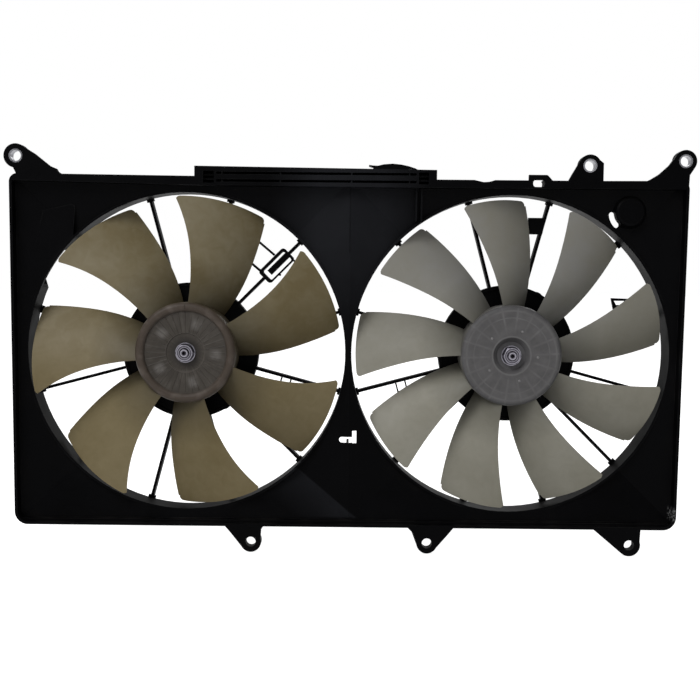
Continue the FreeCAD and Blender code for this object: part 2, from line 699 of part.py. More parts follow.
def make_bush():
    front = CAN_REAR_Y + 1.5
    return tube(BUSH_R, SHAFT_R + RUNNING_FIT, front, front + BUSH_W)


def make_magnets():
    arcs = []
    for middle in (90.0, 270.0):
        ring = tube(CAN_R - CAN_WALL, MAGNET_IN_R, MAGNET_FRONT_Y, MAGNET_REAR_Y)
        half = MAGNET_SPAN / 2
        reach = 1.5 * CAN_R
        wedge = [(0, 0), polar(reach, -half), polar(1.5 * reach, 0), polar(reach, half)]
        arcs.append(turned(ring.common(plate(wedge, 0, 80)), middle))
    return Part.makeCompound(arcs)


def make_card():
    card = disc(CAN_R - CAN_WALL, CARD_FRONT_Y, CARD_FRONT_Y + CARD_T)
    card = card.cut(disc(COMMUTATOR_R + 4, CARD_FRONT_Y - 1, CARD_FRONT_Y + CARD_T + 1))
    rear = CARD_FRONT_Y + CARD_T
    inner_x = COMMUTATOR_R + 4
    outer_x = COMMUTATOR_R + BRUSH_LENGTH + 8
    parts = [card]
    for angle in (0.0, 180.0):
        sleeve = box(inner_x, outer_x, rear, rear + BRUSH_T + 1.2, -BRUSH_W / 2 - 1, BRUSH_W / 2 + 1)
        parts.append(turned(sleeve, angle))
    card = joined(parts)
    half = BRUSH_W / 2 + BRUSH_GAP
    cuts = []
    for angle in (0.0, 180.0):
        channel = box(inner_x - 1, outer_x + 1, rear, rear + BRUSH_T + BRUSH_GAP, -half, half)
        cuts.append(turned(channel, angle))
    return card.cut(cuts)


def make_brushes():
    rear = CARD_FRONT_Y + CARD_T
    brushes = []
    for angle in (0.0, 180.0):
        block = box(COMMUTATOR_R - 2, COMMUTATOR_R + BRUSH_LENGTH, rear, rear + BRUSH_T,
                    -BRUSH_W / 2, BRUSH_W / 2)
        block = block.cut(disc(COMMUTATOR_R + RUNNING_FIT, rear - 1, rear + BRUSH_T + 1))
        brushes.append(turned(block, angle))
    return Part.makeCompound(brushes)


def make_brush_springs():
    # Folded leaf springs that press the brushes inward.
    y0 = CARD_FRONT_Y + CARD_T + 0.6
    start = COMMUTATOR_R + BRUSH_LENGTH
    end = COMMUTATOR_R + BRUSH_LENGTH + 7.5
    springs = []
    points = [(start, -2.4), (start + 0.5, -2.4), (start + 3.4, 1.4), (end - 0.4, -2.4),
              (end, -2.4), (end, -1.7), (start + 3.4, 2.3), (start, -1.5)]
    for angle in (0.0, 180.0):
        springs.append(turned(plate(points, y0, y0 + 3.5), angle))
    return Part.makeCompound(springs)


def make_socket():
    # Inlet for the plug, on the lower part of the rear cover.
    rear = CAN_REAR_Y + COVER_T
    half = SOCKET_HALF
    inner = half - SOCKET_WALL
    foot_x = inner - SOCKET_GAP
    low = SOCKET_Z - half
    high = SOCKET_Z + half
    shell = box(-half, half, rear, rear + SOCKET_DEPTH, low, high)
    shell = shell.cut(box(-inner, inner, rear + 5, rear + SOCKET_DEPTH + 1, low + 2.5, high - 2.5))
    foot_low = SOCKET_Z - 5 + SOCKET_GAP
    foot_high = SOCKET_Z + 7 - SOCKET_GAP
    foot = box(-foot_x, foot_x, CAN_REAR_Y - 4, rear + 1, foot_low, foot_high)
    slots = []
    for x in TERMINAL_XS:
        slots.append(box(x - 1.2, x + 1.2, CAN_REAR_Y - 5, rear + 6, SOCKET_Z - 3, SOCKET_Z + 3))
    return joined([shell, foot]).cut(slots)


def make_terminals():
    rear = CAN_REAR_Y + COVER_T
    blades = []
    for x in TERMINAL_XS:
        blades.append(box(x - 0.4, x + 0.4, CAN_REAR_Y - 6, rear + 13, SOCKET_Z - 3, SOCKET_Z + 3))
    return Part.makeCompound(blades)


def make_shaft():
    thread = disc(THREAD_R, SHAFT_FRONT_Y, THREAD_REAR_Y)
    tip = Part.makeCone(THREAD_R - 0.8, THREAD_R, 0.8, V(0, SHAFT_FRONT_Y, 0), AXIS_Y)
    thread = thread.cut(disc(THREAD_R + 1, SHAFT_FRONT_Y - 1, SHAFT_FRONT_Y + 0.8)).fuse(tip)
    rod = disc(SHAFT_R, THREAD_REAR_Y, SHAFT_REAR_Y)
    flat = box(-SHAFT_R, SHAFT_R, THREAD_REAR_Y - 1, HUB_BOSS_REAR_Y, SHAFT_FLAT_Z, SHAFT_R + 1)
    centre = Part.makeCone(CENTRE_HOLE_R, 0.4, 2.2, V(0, SHAFT_FRONT_Y, 0), AXIS_Y)
    return joined([thread.cut(centre), rod.cut(flat)])


def make_core():
    core = tube(CORE_R, SHAFT_R + SLIDE_FIT, CORE_FRONT_Y, CORE_REAR_Y)
    slots = []
    for k in range(SLOT_COUNT):
        slot = box(SLOT_BOTTOM_R, CORE_R - 3, CORE_FRONT_Y - 1, CORE_REAR_Y + 1,
                   -SLOT_W / 2, SLOT_W / 2)
        mouth = box(CORE_R - 4, CORE_R + 1, CORE_FRONT_Y - 1, CORE_REAR_Y + 1, -1, 1)
        slots.append(turned(slot.fuse(mouth), k * 360.0 / SLOT_COUNT))
    return core.cut(slots)


def coil_end(inner, y0, y1):
    bevel = 1.5
    profile = [
        (inner, y0),
        (WINDING_R - bevel, y0),
        (WINDING_R, y0 + bevel),
        (WINDING_R, y1 - bevel),
        (WINDING_R - bevel, y1),
        (inner, y1),
    ]
    return revolved(profile)


def make_windings():
    # Coils lie in the core slots and bulge over both ends of the core.
    inner = SLOT_BOTTOM_R + 0.2
    parts = []
    front_end = (CORE_FRONT_Y - WINDING_OVERHANG, CORE_FRONT_Y)
    rear_end = (CORE_REAR_Y, CORE_REAR_Y + WINDING_OVERHANG)
    for y0, y1 in (front_end, rear_end):
        parts.append(coil_end(inner - 3, y0, y1))
    half = SLOT_W / 2 - 0.1
    for k in range(SLOT_COUNT):
        coil = box(inner, CORE_R - 3.2, CORE_FRONT_Y - 1, CORE_REAR_Y + 1, -half, half)
        parts.append(turned(coil, k * 360.0 / SLOT_COUNT))
    return joined(parts)


def make_commutator():
    ring = tube(COMMUTATOR_R, SHAFT_R + SLIDE_FIT, COMMUTATOR_FRONT_Y, COMMUTATOR_REAR_Y)
    grooves = []
    for k in range(SLOT_COUNT):
        groove = box(COMMUTATOR_R - 1, COMMUTATOR_R + 1, COMMUTATOR_FRONT_Y - 1,
                     COMMUTATOR_REAR_Y + 1, -0.3, 0.3)
        grooves.append(turned(groove, (k + 0.5) * 360.0 / SLOT_COUNT))
    return ring.cut(grooves)


def edge_angle(table, outward, column):
    for low, high in zip(table, table[1:]):
        if outward <= high[0]:
            share = (outward - low[0]) / (high[0] - low[0])
            return low[column] + share * (high[column] - low[column])
    return table[-1][column]


def blade_point(table, depths, outward, along, side):
    # Point on one skin of a blade; outward runs from root to tip and along from edge to edge.
    lead = edge_angle(table, outward, 1)
    trail = edge_angle(table, outward, 2)
    radius = BLADE_ROOT_R + outward * (TIP_R - BLADE_ROOT_R)
    lead_root_y, lead_tip_y, trail_root_y, trail_tip_y = depths
    lead_y = lead_root_y + outward * (lead_tip_y - lead_root_y)
    trail_y = trail_root_y + outward * (trail_tip_y - trail_root_y)
    thickness = BLADE_T_ROOT + outward * (BLADE_T_TIP - BLADE_T_ROOT)
    thickness *= 0.4 + 0.6 * math.sin(math.pi * along)
    y = lead_y + along * (trail_y - lead_y) - BLADE_CAMBER * 4 * along * (1 - along)
    x, z = polar(radius, lead + along * (trail - lead))
    return V(x, y + side * thickness / 2, z)


def tip_corner(table, column, side):
    # Cutter that rounds one tip corner: a quadrant outside the corner circle.
    centre_r = TIP_R - TIP_CORNER_R
    outward = (centre_r - BLADE_ROOT_R) / (TIP_R - BLADE_ROOT_R)
    angle = edge_angle(table, outward, column) - side * math.degrees(TIP_CORNER_R / centre_r)
    reach = 2 * TIP_CORNER_R
    quadrant = [(0, 0), (reach, 0), (reach, side * reach), (0, side * reach)]
    cutter = plate(quadrant, -40, 40).cut(disc(TIP_CORNER_R, -41, 41))
    return turned(moved(cutter, centre_r), angle)


def make_blade(table, depths):
    skins = []
    steps = [k / BLADE_STEPS for k in range(BLADE_STEPS + 1)]
    for side in (-1, 1):
        grid = []
        for row in BLADE_ROWS:
            grid.append([blade_point(table, depths, row, along, side) for along in steps])
        skin = Part.BSplineSurface()
        skin.interpolate(grid)
        skins.append(skin)
    front, rear = skins
    faces = [front.toShape(), rear.toShape()]
    u0, u1, v0, v1 = front.bounds()
    for u in (u0, u1):
        faces.append(Part.makeRuledSurface(front.uIso(u).toShape(), rear.uIso(u).toShape()))
    for v in (v0, v1):
        faces.append(Part.makeRuledSurface(front.vIso(v).toShape(), rear.vIso(v).toShape()))
    shell = Part.makeShell(faces)
    shell.sewShape()
    blade = Part.makeSolid(shell)
    if blade.Volume < 0:
        blade.reverse()
    blade = blade.common(disc(TIP_R, -40, 40))
    return blade.cut([tip_corner(table, 1, 1), tip_corner(table, 2, -1)])


def rounded_edge(radius, last_angle):
    # Front edge of the cup, from its side over the crest to the given angle.
    points = []
    for angle in range(0, last_angle + 1, 15):
        dr, dy = polar(radius, angle)
        points.append((HUB_R - radius + dr, HUB_FRONT_Y + radius - dy))
    return points


def hub_profile(front):
    # Closed section of the cup; front lists its radius and Y pairs from the side to the seat.
    inner_r = HUB_R - HUB_WALL
    profile = [(inner_r, HUB_REAR_Y), (HUB_R, HUB_REAR_Y)]
    profile += front
    profile += [
        (HUB_HOLE_R, SEAT_Y),
        (HUB_HOLE_R, SEAT_Y + 2),
        (INSERT_R, SEAT_Y + 2),
        (INSERT_R, HUB_BOSS_REAR_Y),
        (BOSS_OUTER_R, HUB_BOSS_REAR_Y),
        (BOSS_OUTER_R + 1, SEAT_Y + HUB_FACE_T),
        (22.0, SEAT_Y + HUB_FACE_T),
        (26.0, HUB_FRONT_Y + HUB_FACE_T + 2.5),
        (inner_r - 5, HUB_FRONT_Y + HUB_FACE_T + 2.5),
        (inner_r, HUB_FRONT_Y + HUB_FACE_T + 6),
    ]
    return profile


def make_wheel(front, table, depths, count):
    hub = revolved(hub_profile(front))
    parts = [hub]
    blade = make_blade(table, depths)
    for k in range(count):
        parts.append(turned(blade, k * 360.0 / count))
    # Stiffening ribs inside the cup, one behind each blade.
    for k in range(count):
        rib = box(BOSS_OUTER_R - 1, HUB_R - 1.5, SEAT_Y + 2, HUB_BOSS_REAR_Y - 1, -1, 1)
        parts.append(turned(rib, (k + 0.5) * 360.0 / count))
    return joined(parts)


def make_left_wheel():
    # A rounded bead rings a sunken disc with low radial ribs, and a bowl holds the nut.
    disc_y = HUB_FRONT_Y + 3.6
    front = rounded_edge(BEAD_R, 150)
    front += [(43.6, disc_y), (21.0, disc_y), (20.2, disc_y + 1.0), (17.0, SEAT_Y)]
    wheel = make_wheel(front, LEFT_BLADE, LEFT_BLADE_YS, 7)
    section = [V(21.5, disc_y + 0.5, -1.3), V(21.5, disc_y - 0.4, 0), V(21.5, disc_y + 0.5, 1.3)]
    section.append(section[0])
    rib = Part.Face(Part.makePolygon(section)).extrude(V(23.0, 0, 0))
    ribs = [turned(rib, k * 360.0 / DISC_RIB_COUNT) for k in range(DISC_RIB_COUNT)]
    wheel = joined([wheel] + ribs)
    # Small mark on top of the bead.
    return wheel.cut(box(-0.5, 0.5, HUB_FRONT_Y - 1, HUB_FRONT_Y + 0.8, 46.0, 51.5))


def make_right_wheel():
    front = rounded_edge(HUB_EDGE_R, 90)
    front += [(19.8, HUB_FRONT_Y), (15.0, SEAT_Y)]
    return make_wheel(front, RIGHT_BLADE, RIGHT_BLADE_YS, 9)


def make_insert():
    insert = tube(INSERT_R, SHAFT_R + SLIDE_FIT, SEAT_Y + 2, HUB_BOSS_REAR_Y)
    flat_z = SHAFT_FLAT_Z + 0.05
    flat = box(-SHAFT_R, SHAFT_R, SEAT_Y + 2, HUB_BOSS_REAR_Y, flat_z, SHAFT_R + 0.5)
    return insert.fuse(flat.common(disc(SHAFT_R + 0.5, SEAT_Y + 2, HUB_BOSS_REAR_Y))).removeSplitter()


def make_washer():
    return tube(WASHER_R, SHAFT_R + 0.2, SEAT_Y - WASHER_T, SEAT_Y)


def make_nut():
    rear = SEAT_Y - WASHER_T
    nut = hexagon(NUT_FLATS, rear - NUT_H, rear)
    chamfer = Part.makeCone(NUT_FLATS / 2, NUT_FLATS / 2 + 4, 4 / 1.6, V(0, rear - NUT_H, 0), AXIS_Y)
    cap = chamfer.fuse(disc(NUT_FLATS, rear - NUT_H + 4 / 1.6, rear))
    return nut.common(cap).cut(disc(THREAD_R + SLIDE_FIT, rear - NUT_H - 1, rear + 1))


def make_sleeve(x, z):
    return tube(SLEEVE_R, SLEEVE_HOLE_R, RIM_Y, RIM_Y + EAR_BOSS_LENGTH, x, z)


def make_clip():
    # Low arched clip on top of the rail, which slopes a little.
    points = [(20.3, 3.6), (20.3, 4.3), (25, 3.7), (29.6, 3.6), (36, 5.2), (45.3, 6), (54.5, 5.2),
              (61.9, 3.7), (69.2, 1.5), (72, 0), (66, 0), (65.2, 1.6), (62.8, 1.6), (62, 0),
              (24.8, 0), (24.8, 2.4), (22.5, 3)]
    points = [(x, rail_top(x) + rise) for x, rise in points]
    return plate(points, RIM_Y + 2, RIM_Y + 14)


nodes = {
    "fan_shroud": make_shroud(),
    "rail_clip": make_clip(),
    "motor_stay_left": make_left_stay(),
    "motor_stay_right": make_right_stay(),
}
for label, (x, z) in zip(("left", "inner", "right"), upper_holes()):
    nodes["ear_sleeve_" + label] = make_sleeve(x, z)

motor_makers = {
    "motor_can": make_can,
    "motor_bracket": make_bracket,
    "mount_screws": make_mount_screws,
    "end_cover": make_cover,
    "cover_screws": make_cover_screws,
    "front_bearing": make_bearing,
    "rear_bush": make_bush,
    "magnets": make_magnets,
    "brush_card": make_card,
    "brushes": make_brushes,
    "brush_springs": make_brush_springs,
    "plug_socket": make_socket,
    "plug_terminals": make_terminals,
    "shaft": make_shaft,
    "armature_core": make_core,
    "windings": make_windings,
    "commutator": make_commutator,
    "hub_insert": make_insert,
    "hub_washer": make_washer,
    "hub_nut": make_nut,
}
for name, maker in motor_makers.items():
    shape = maker()
    nodes[name + "_left"] = moved(shape, -FAN_X)
    nodes[name + "_right"] = moved(shape, FAN_X)
nodes["fan_wheel_left"] = moved(make_left_wheel(), -FAN_X)
nodes["fan_wheel_right"] = moved(make_right_wheel(), FAN_X)

for name, shape in nodes.items():
    placed = moved(shape, -ORIGIN_X, -RIM_Y, -UPPER_EAR_Z)
    print(name, placed.isValid(), len(placed.Solids), round(placed.Volume))
    placed.exportStep("parts/" + name + ".step")
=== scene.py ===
# Dressing of the twin radiator cooling fan: moulded shroud, two fan wheels and their motors.
import math

import bmesh
import bpy
from mathutils import Matrix, Vector


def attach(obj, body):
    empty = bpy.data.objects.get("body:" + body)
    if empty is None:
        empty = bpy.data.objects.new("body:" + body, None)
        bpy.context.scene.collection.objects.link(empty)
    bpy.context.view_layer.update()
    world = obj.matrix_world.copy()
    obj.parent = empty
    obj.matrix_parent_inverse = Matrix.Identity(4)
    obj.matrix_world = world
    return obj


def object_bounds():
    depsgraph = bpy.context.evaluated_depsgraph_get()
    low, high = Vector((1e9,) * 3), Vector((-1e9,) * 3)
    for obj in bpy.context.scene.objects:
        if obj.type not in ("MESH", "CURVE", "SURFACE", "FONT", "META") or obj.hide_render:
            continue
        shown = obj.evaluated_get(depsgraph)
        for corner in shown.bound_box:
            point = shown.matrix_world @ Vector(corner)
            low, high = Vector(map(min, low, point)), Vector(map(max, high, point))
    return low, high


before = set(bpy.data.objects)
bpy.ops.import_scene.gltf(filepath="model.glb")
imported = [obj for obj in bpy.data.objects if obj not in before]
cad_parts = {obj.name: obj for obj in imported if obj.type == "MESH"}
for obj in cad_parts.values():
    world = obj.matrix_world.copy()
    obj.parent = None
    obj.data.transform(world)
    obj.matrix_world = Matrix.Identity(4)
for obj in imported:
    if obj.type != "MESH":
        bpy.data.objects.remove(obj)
cad_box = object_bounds()

MM = 0.001

# Places that the finishes and the small pieces share, in metres
FAN_CENTRES = {"left": (-0.1748, 0.0, -0.2065), "right": (0.1738, 0.0, -0.2065)}
HUB_FACE_Y = 0.001
SHAFT_TIP_Y = -0.0045
ORIGIN = (0.0, 0.0, 0.0)

# Where the painted light on the shroud lies, in metres: a paler upper neck and a paler facet low
# on it, painted light in place of light on these faces. A span is the middle, the outer and the
# inner distance along one axis; a fade runs from no tone to full tone. The facet's edge and tail
# fades are measured from the crease along the fall.
NECK_SPAN = (0.0, 0.085, 0.035)
NECK_FADE = (-0.20, -0.09)
FACET_CREASE = (-0.0451, 0.0, -0.3403)
FACET_FALL = (-0.630, 0.0, -0.777)
FACET_SPAN = (-0.030, 0.060, 0.040)
FACET_EDGE_FADE = (0.0, 0.0015)
FACET_TAIL_FADE = (0.042, 0.004)
FACET_FOOT_FADE = (-0.387, -0.384)
SCUFF_SPAN_X = (0.3535, 0.0060, 0.0030)
SCUFF_SPAN_Z = (-0.3765, 0.0085, 0.0030)

# Where the tones round a fan axis lie, as distances from it in metres. A ring is its middle
# radius and half its width; a root is where the painted shade at the blades' roots starts and
# ends, and its first and last brightness.
HUB_FADE = (0.0545, 0.0530)
TAN_ROOT_SHADE = (0.052, 0.105, 0.42, 1.0)
GREY_ROOT_SHADE = (0.052, 0.100, 0.48, 1.0)
TAN_BEAD_FADE = (0.0435, 0.0455)
TAN_SPOT_RING = (0.0325, 0.0075)
TAN_STEP_HIGHLIGHT_RING = (0.0207, 0.0012)
TAN_BOWL_SHADE_FADE = (0.0185, 0.0125)
GREY_LINES_FADE = (0.0215, 0.0300)
GREY_MARK_AND_HIGHLIGHT_RINGS = ((0.0405, 0.0009), (0.0480, 0.0014))
GREY_STEP_HIGHLIGHT_RING = (0.0204, 0.0013)
GREY_RIM_SHADE = (0.0490, 0.0540, 0.0, 0.6)
GREY_BOWL_SHADE = (0.0200, 0.0130, 0.0, 0.6)
# Painted highlights on the nut and washer edges, and a painted reflection on the shaft's end
PLATE_HIGHLIGHT_RINGS = ((0.0060, 0.0005), (0.0081, 0.0006), (0.0103, 0.0007))
SHAFT_REFLECTION_RINGS = ((0.0034, 0.0010),)

# Depth of the surface relief in metres, gloss and roughness of the finishes
SHROUD_RELIEF = 0.00008
NYLON_RELIEF = 0.00006
METAL_RELIEF = 0.00003
COATED_RELIEF = 0.00008
SHROUD_GLOSS = 0.03
NYLON_GLOSS = 0.22
SHROUD_ROUGHNESS = (0.42, 0.56)
NYLON_ROUGHNESS = (0.46, 0.58)
METAL_SPREAD = 0.16
COATED_SPREAD = 0.14

# Colours as linear red, green and blue
SHROUD_BLACK = (0.0006, 0.0006, 0.0008)
SHROUD_GREY = (0.0022, 0.0022, 0.0028)
SCUFF_GREY = (0.16, 0.16, 0.16)
NECK_PAINTED_LIGHT = (0.0098, 0.0102, 0.0120)
DUST_GREY = (0.12, 0.11, 0.10)
TAN_BLADE = (0.152, 0.123, 0.066)
TAN_BLADE_DEEP = (0.112, 0.087, 0.040)
TAN_BLADE_UPPER_LIT = (0.166, 0.143, 0.092)
TAN_HUB = (0.029, 0.024, 0.019)
TAN_HUB_PALE = (0.074, 0.066, 0.057)
TAN_HUB_DARK_AND_SHADE = (0.017, 0.014, 0.012)
TAN_SPOT = (0.105, 0.097, 0.090)
TAN_BEAD = (0.043, 0.032, 0.024)
TAN_BEAD_PALE = (0.075, 0.060, 0.050)
GREY_BLADE = (0.232, 0.224, 0.188)
GREY_BLADE_DEEP = (0.165, 0.156, 0.122)
GREY_BLADE_UPPER_SHADED = (0.185, 0.182, 0.170)
GREY_HUB = (0.064, 0.062, 0.063)
GREY_HUB_PALE = (0.125, 0.122, 0.123)
GREY_HUB_SHADE = (0.046, 0.045, 0.049)
GREY_PIP_HIGHLIGHT = (0.15, 0.147, 0.145)
ZINC = (0.48, 0.48, 0.52)
ZINC_DULL = (0.17, 0.17, 0.19)
PLATE_DULL = (0.085, 0.080, 0.096)
PLATE_SHADE = (0.040, 0.037, 0.046)
PLATE_HIGHLIGHT = (0.30, 0.29, 0.33)
SLEEVE_ZINC = (0.30, 0.30, 0.32)
GRIME_AND_SHADE = (0.012, 0.012, 0.013)
MOTOR_PAINT = (0.010, 0.010, 0.011)
PRIMER_GREY = (0.09, 0.09, 0.095)
POLISHED_STEEL = (0.34, 0.34, 0.35)
STEEL_DULL = (0.08, 0.08, 0.085)
BRONZE = (0.42, 0.25, 0.11)
BRONZE_DARK = (0.20, 0.11, 0.05)
FERRITE = (0.035, 0.035, 0.038)
FERRITE_PALE = (0.08, 0.08, 0.085)
CARD_BROWN = (0.16, 0.075, 0.03)
CARD_DARK = (0.08, 0.035, 0.015)
CARBON = (0.018, 0.018, 0.019)
CARBON_PALE = (0.05, 0.05, 0.052)
SPRING = (0.42, 0.42, 0.44)
SPRING_DARK = (0.18, 0.18, 0.19)
SOCKET_GREY = (0.055, 0.056, 0.058)
SOCKET_DARK = (0.028, 0.028, 0.029)
BRASS = (0.60, 0.43, 0.17)
BRASS_DARK = (0.30, 0.19, 0.07)
LAMINATION = (0.16, 0.16, 0.17)
LAMINATION_DARK = (0.07, 0.07, 0.075)
COPPER = (0.50, 0.19, 0.08)
COPPER_DARK = (0.24, 0.08, 0.03)


def add_node(tree, kind, inputs=None, **settings):
    # Inputs are given by name or number, as values or as sockets to link from.
    node = tree.nodes.new(kind)
    for name, value in settings.items():
        setattr(node, name, value)
    for key, value in (inputs or {}).items():
        socket = node.inputs[key]
        if isinstance(value, bpy.types.NodeSocket):
            tree.links.new(value, socket)
        else:
            socket.default_value = value
    return node


def maths(tree, operation, first, second=0.0, third=0.0, clamp=False):
    node = add_node(tree, "ShaderNodeMath", {0: first, 1: second, 2: third}, operation=operation)
    node.use_clamp = clamp
    return node.outputs[0]


def colour_mix(tree, share, first, second):
    # The share is a socket; each colour is a socket or red, green and blue.
    node = tree.nodes.new("ShaderNodeMix")
    node.data_type = "RGBA"
    for index, value in ((0, share), (6, first), (7, second)):
        if isinstance(value, tuple):
            node.inputs[index].default_value = (*value, 1.0)
        else:
            tree.links.new(value, node.inputs[index])
    return node.outputs[2]


def remap(tree, value, low, high, to_low=0.0, to_high=1.0):
    inputs = {0: value, 1: low, 2: high, 3: to_low, 4: to_high}
    return add_node(tree, "ShaderNodeMapRange", inputs, clamp=True).outputs[0]


def object_place(tree):
    return tree.nodes.new("ShaderNodeTexCoord").outputs["Object"]


def noise(tree, place, fineness, detail, **more):
    inputs = {"Vector": place, "Scale": fineness, "Detail": detail, **more}
    return add_node(tree, "ShaderNodeTexNoise", inputs).outputs[0]


def weaken(tree, mask, share):
    return maths(tree, "MULTIPLY", mask, share)


def from_axis(tree, centre):
    # Offsets from a point along X, Y and Z, and the distance from the line along Y through it.
    local = add_node(tree, "ShaderNodeVectorMath", {0: object_place(tree), 1: centre},
                     operation="SUBTRACT").outputs[0]
    parts = add_node(tree, "ShaderNodeSeparateXYZ", {0: local}).outputs
    across = maths(tree, "MULTIPLY", parts[0], parts[0])
    radius = maths(tree, "SQRT", maths(tree, "MULTIPLY_ADD", parts[2], parts[2], across))
    return parts, radius


def new_group(name, inputs, outputs):
    tree = bpy.data.node_groups.new(name, "ShaderNodeTree")
    kinds = {"value": "NodeSocketFloat", "vector": "NodeSocketVector"}
    for label, kind, default in inputs:
        socket = tree.interface.new_socket(label, in_out="INPUT", socket_type=kinds[kind])
        socket.default_value = default
    for label, kind in outputs:
        tree.interface.new_socket(label, in_out="OUTPUT", socket_type=kinds[kind])
    entry = tree.nodes.new("NodeGroupInput")
    leave = tree.nodes.new("NodeGroupOutput")
    return tree, entry.outputs, leave.inputs


def place_group(tree, group, **values):
    node = tree.nodes.new("ShaderNodeGroup")
    node.node_tree = group
    for label, value in values.items():
        socket = node.inputs[label.replace("_", " ")]
        if isinstance(value, bpy.types.NodeSocket):
            tree.links.new(value, socket)
        else:
            socket.default_value = value
    return node.outputs


def make_mould_grain():
    # Fine grain of moulded plastic, with a slow drift of tone and faint flow marks.
    inputs = [("grain fineness", "value", 900.0), ("drift fineness", "value", 6.0)]
    outputs = [("height", "value"), ("drift", "value")]
    tree, given, result = new_group("mould grain", inputs, outputs)
    place = object_place(tree)
    fine = noise(tree, place, given["grain fineness"], 3.0, Roughness=0.6)
    coarse = noise(tree, place, given["drift fineness"], 4.0, Roughness=0.55)
    ripple = maths(tree, "MULTIPLY", given["drift fineness"], 7.0)
    flow = noise(tree, place, ripple, 2.0, Distortion=1.2)
    tree.links.new(maths(tree, "MULTIPLY_ADD", flow, 0.35, fine), result["height"])
    drift = maths(tree, "MULTIPLY_ADD", flow, 0.3, coarse)
    tree.links.new(remap(tree, drift, 0.45, 0.85), result["drift"])
    return tree


def make_edge_wear():
    # Worn edges: where the bevelled normal leaves the true one, broken up by noise.
    inputs = [("edge width", "value", 0.0012), ("amount", "value", 0.6), ("breakup", "value", 60.0)]
    tree, given, result = new_group("edge wear", inputs, [("mask", "value")])
    rounded = add_node(tree, "ShaderNodeBevel", {"Radius": given["edge width"]}, samples=4)
    true_normal = tree.nodes.new("ShaderNodeNewGeometry").outputs["Normal"]
    likeness = add_node(tree, "ShaderNodeVectorMath", {0: rounded.outputs[0], 1: true_normal},
                        operation="DOT_PRODUCT").outputs["Value"]
    edge = remap(tree, likeness, 0.995, 0.86)
    broken = noise(tree, object_place(tree), given["breakup"], 4.0)
    worn = maths(tree, "MULTIPLY", edge, remap(tree, broken, 0.38, 0.66))
    tree.links.new(maths(tree, "MULTIPLY", worn, given["amount"], clamp=True), result["mask"])
    return tree


def make_settled_dust():
    # Dust that lies on faces that look upward and gathers in corners.
    inputs = [("amount", "value", 0.3), ("patch fineness", "value", 25.0)]
    tree, given, result = new_group("settled dust", inputs, [("mask", "value")])
    normal = tree.nodes.new("ShaderNodeNewGeometry").outputs["Normal"]
    upward = add_node(tree, "ShaderNodeSeparateXYZ", {0: normal}).outputs[2]
    lying = remap(tree, upward, 0.2, 1.0)
    hollow = add_node(tree, "ShaderNodeAmbientOcclusion", {"Distance": 0.02}, samples=4)
    corners = maths(tree, "SUBTRACT", 1.0, hollow.outputs["AO"])
    patches = noise(tree, object_place(tree), given["patch fineness"], 6.0, Roughness=0.65)
    spread = remap(tree, patches, 0.42, 0.7)
    both = maths(tree, "MULTIPLY_ADD", corners, 0.6, lying)
    dust = maths(tree, "MULTIPLY", maths(tree, "MULTIPLY", both, spread), given["amount"])
    tree.links.new(maths(tree, "MINIMUM", dust, 1.0), result["mask"])
    return tree


def make_seat_grime_and_shade():
    # Dark grime and painted shade in narrow recesses, such as the foot of a nut or the root of a
    # thread.
    inputs = [("reach", "value", 0.003), ("amount", "value", 0.8)]
    tree, given, result = new_group("seat grime and shade", inputs, [("mask", "value")])
    hollow = add_node(tree, "ShaderNodeAmbientOcclusion", {"Distance": given["reach"]}, samples=8)
    deep = remap(tree, hollow.outputs["AO"], 0.92, 0.45)
    cloud = noise(tree, object_place(tree), 400.0, 3.0)
    broken = remap(tree, cloud, 0.3, 0.6, 0.6, 1.0)
    mask = maths(tree, "MULTIPLY", maths(tree, "MULTIPLY", deep, broken), given["amount"])
    tree.links.new(mask, result["mask"])
    return tree


def make_wheel_place():
    # Distance from a fan axis and turn about it, from 0 to 1.
    inputs = [("centre", "vector", ORIGIN)]
    outputs = [("radius", "value"), ("turn", "value")]
    tree, given, result = new_group("wheel place", inputs, outputs)
    parts, radius = from_axis(tree, given["centre"])
    tree.links.new(radius, result["radius"])
    angle = maths(tree, "ARCTAN2", parts[2], parts[0])
    tree.links.new(maths(tree, "MULTIPLY_ADD", angle, 0.5 / math.pi, 0.5), result["turn"])
    return tree


def make_repeat_line():
    # Thin soft lines that repeat evenly round the axis: 1 on a line, 0 between lines.
    inputs = [("turn", "value", 0.0), ("radius", "value", 0.03), ("count", "value", 12.0),
              ("shift", "value", 0.0), ("half width", "value", 0.0006)]
    tree, given, result = new_group("repeat line", inputs, [("mask", "value")])
    counted = maths(tree, "MULTIPLY_ADD", given["turn"], given["count"], given["shift"])
    phase = maths(tree, "FRACT", counted)
    from_line = maths(tree, "ABSOLUTE", maths(tree, "SUBTRACT", phase, 0.5))
    arc = maths(tree, "MULTIPLY", given["radius"], 2.0 * math.pi)
    spacing = maths(tree, "DIVIDE", arc, given["count"])
    distance = maths(tree, "MULTIPLY", from_line, spacing)
    share = maths(tree, "DIVIDE", distance, given["half width"])
    tree.links.new(remap(tree, share, 1.0, 0.3), result["mask"])
    return tree


def make_turning_marks():
    # Fine rings round an axis, like those a lathe leaves on metal, and a cloudy tone.
    inputs = [("centre", "vector", ORIGIN), ("fineness", "value", 4000.0)]
    outputs = [("height", "value"), ("tone", "value")]
    tree, given, result = new_group("turning marks", inputs, outputs)
    parts, radius = from_axis(tree, given["centre"])
    along = maths(tree, "MULTIPLY_ADD", parts[1], 0.37, radius)
    step = maths(tree, "MULTIPLY", along, given["fineness"])
    rings = add_node(tree, "ShaderNodeTexNoise", {"W": step, "Scale": 1.0, "Detail": 2.0},
                     noise_dimensions="1D")
    tree.links.new(rings.outputs[0], result["height"])
    cloud = noise(tree, object_place(tree), 220.0, 5.0)
    tree.links.new(remap(tree, cloud, 0.35, 0.7), result["tone"])
    return tree


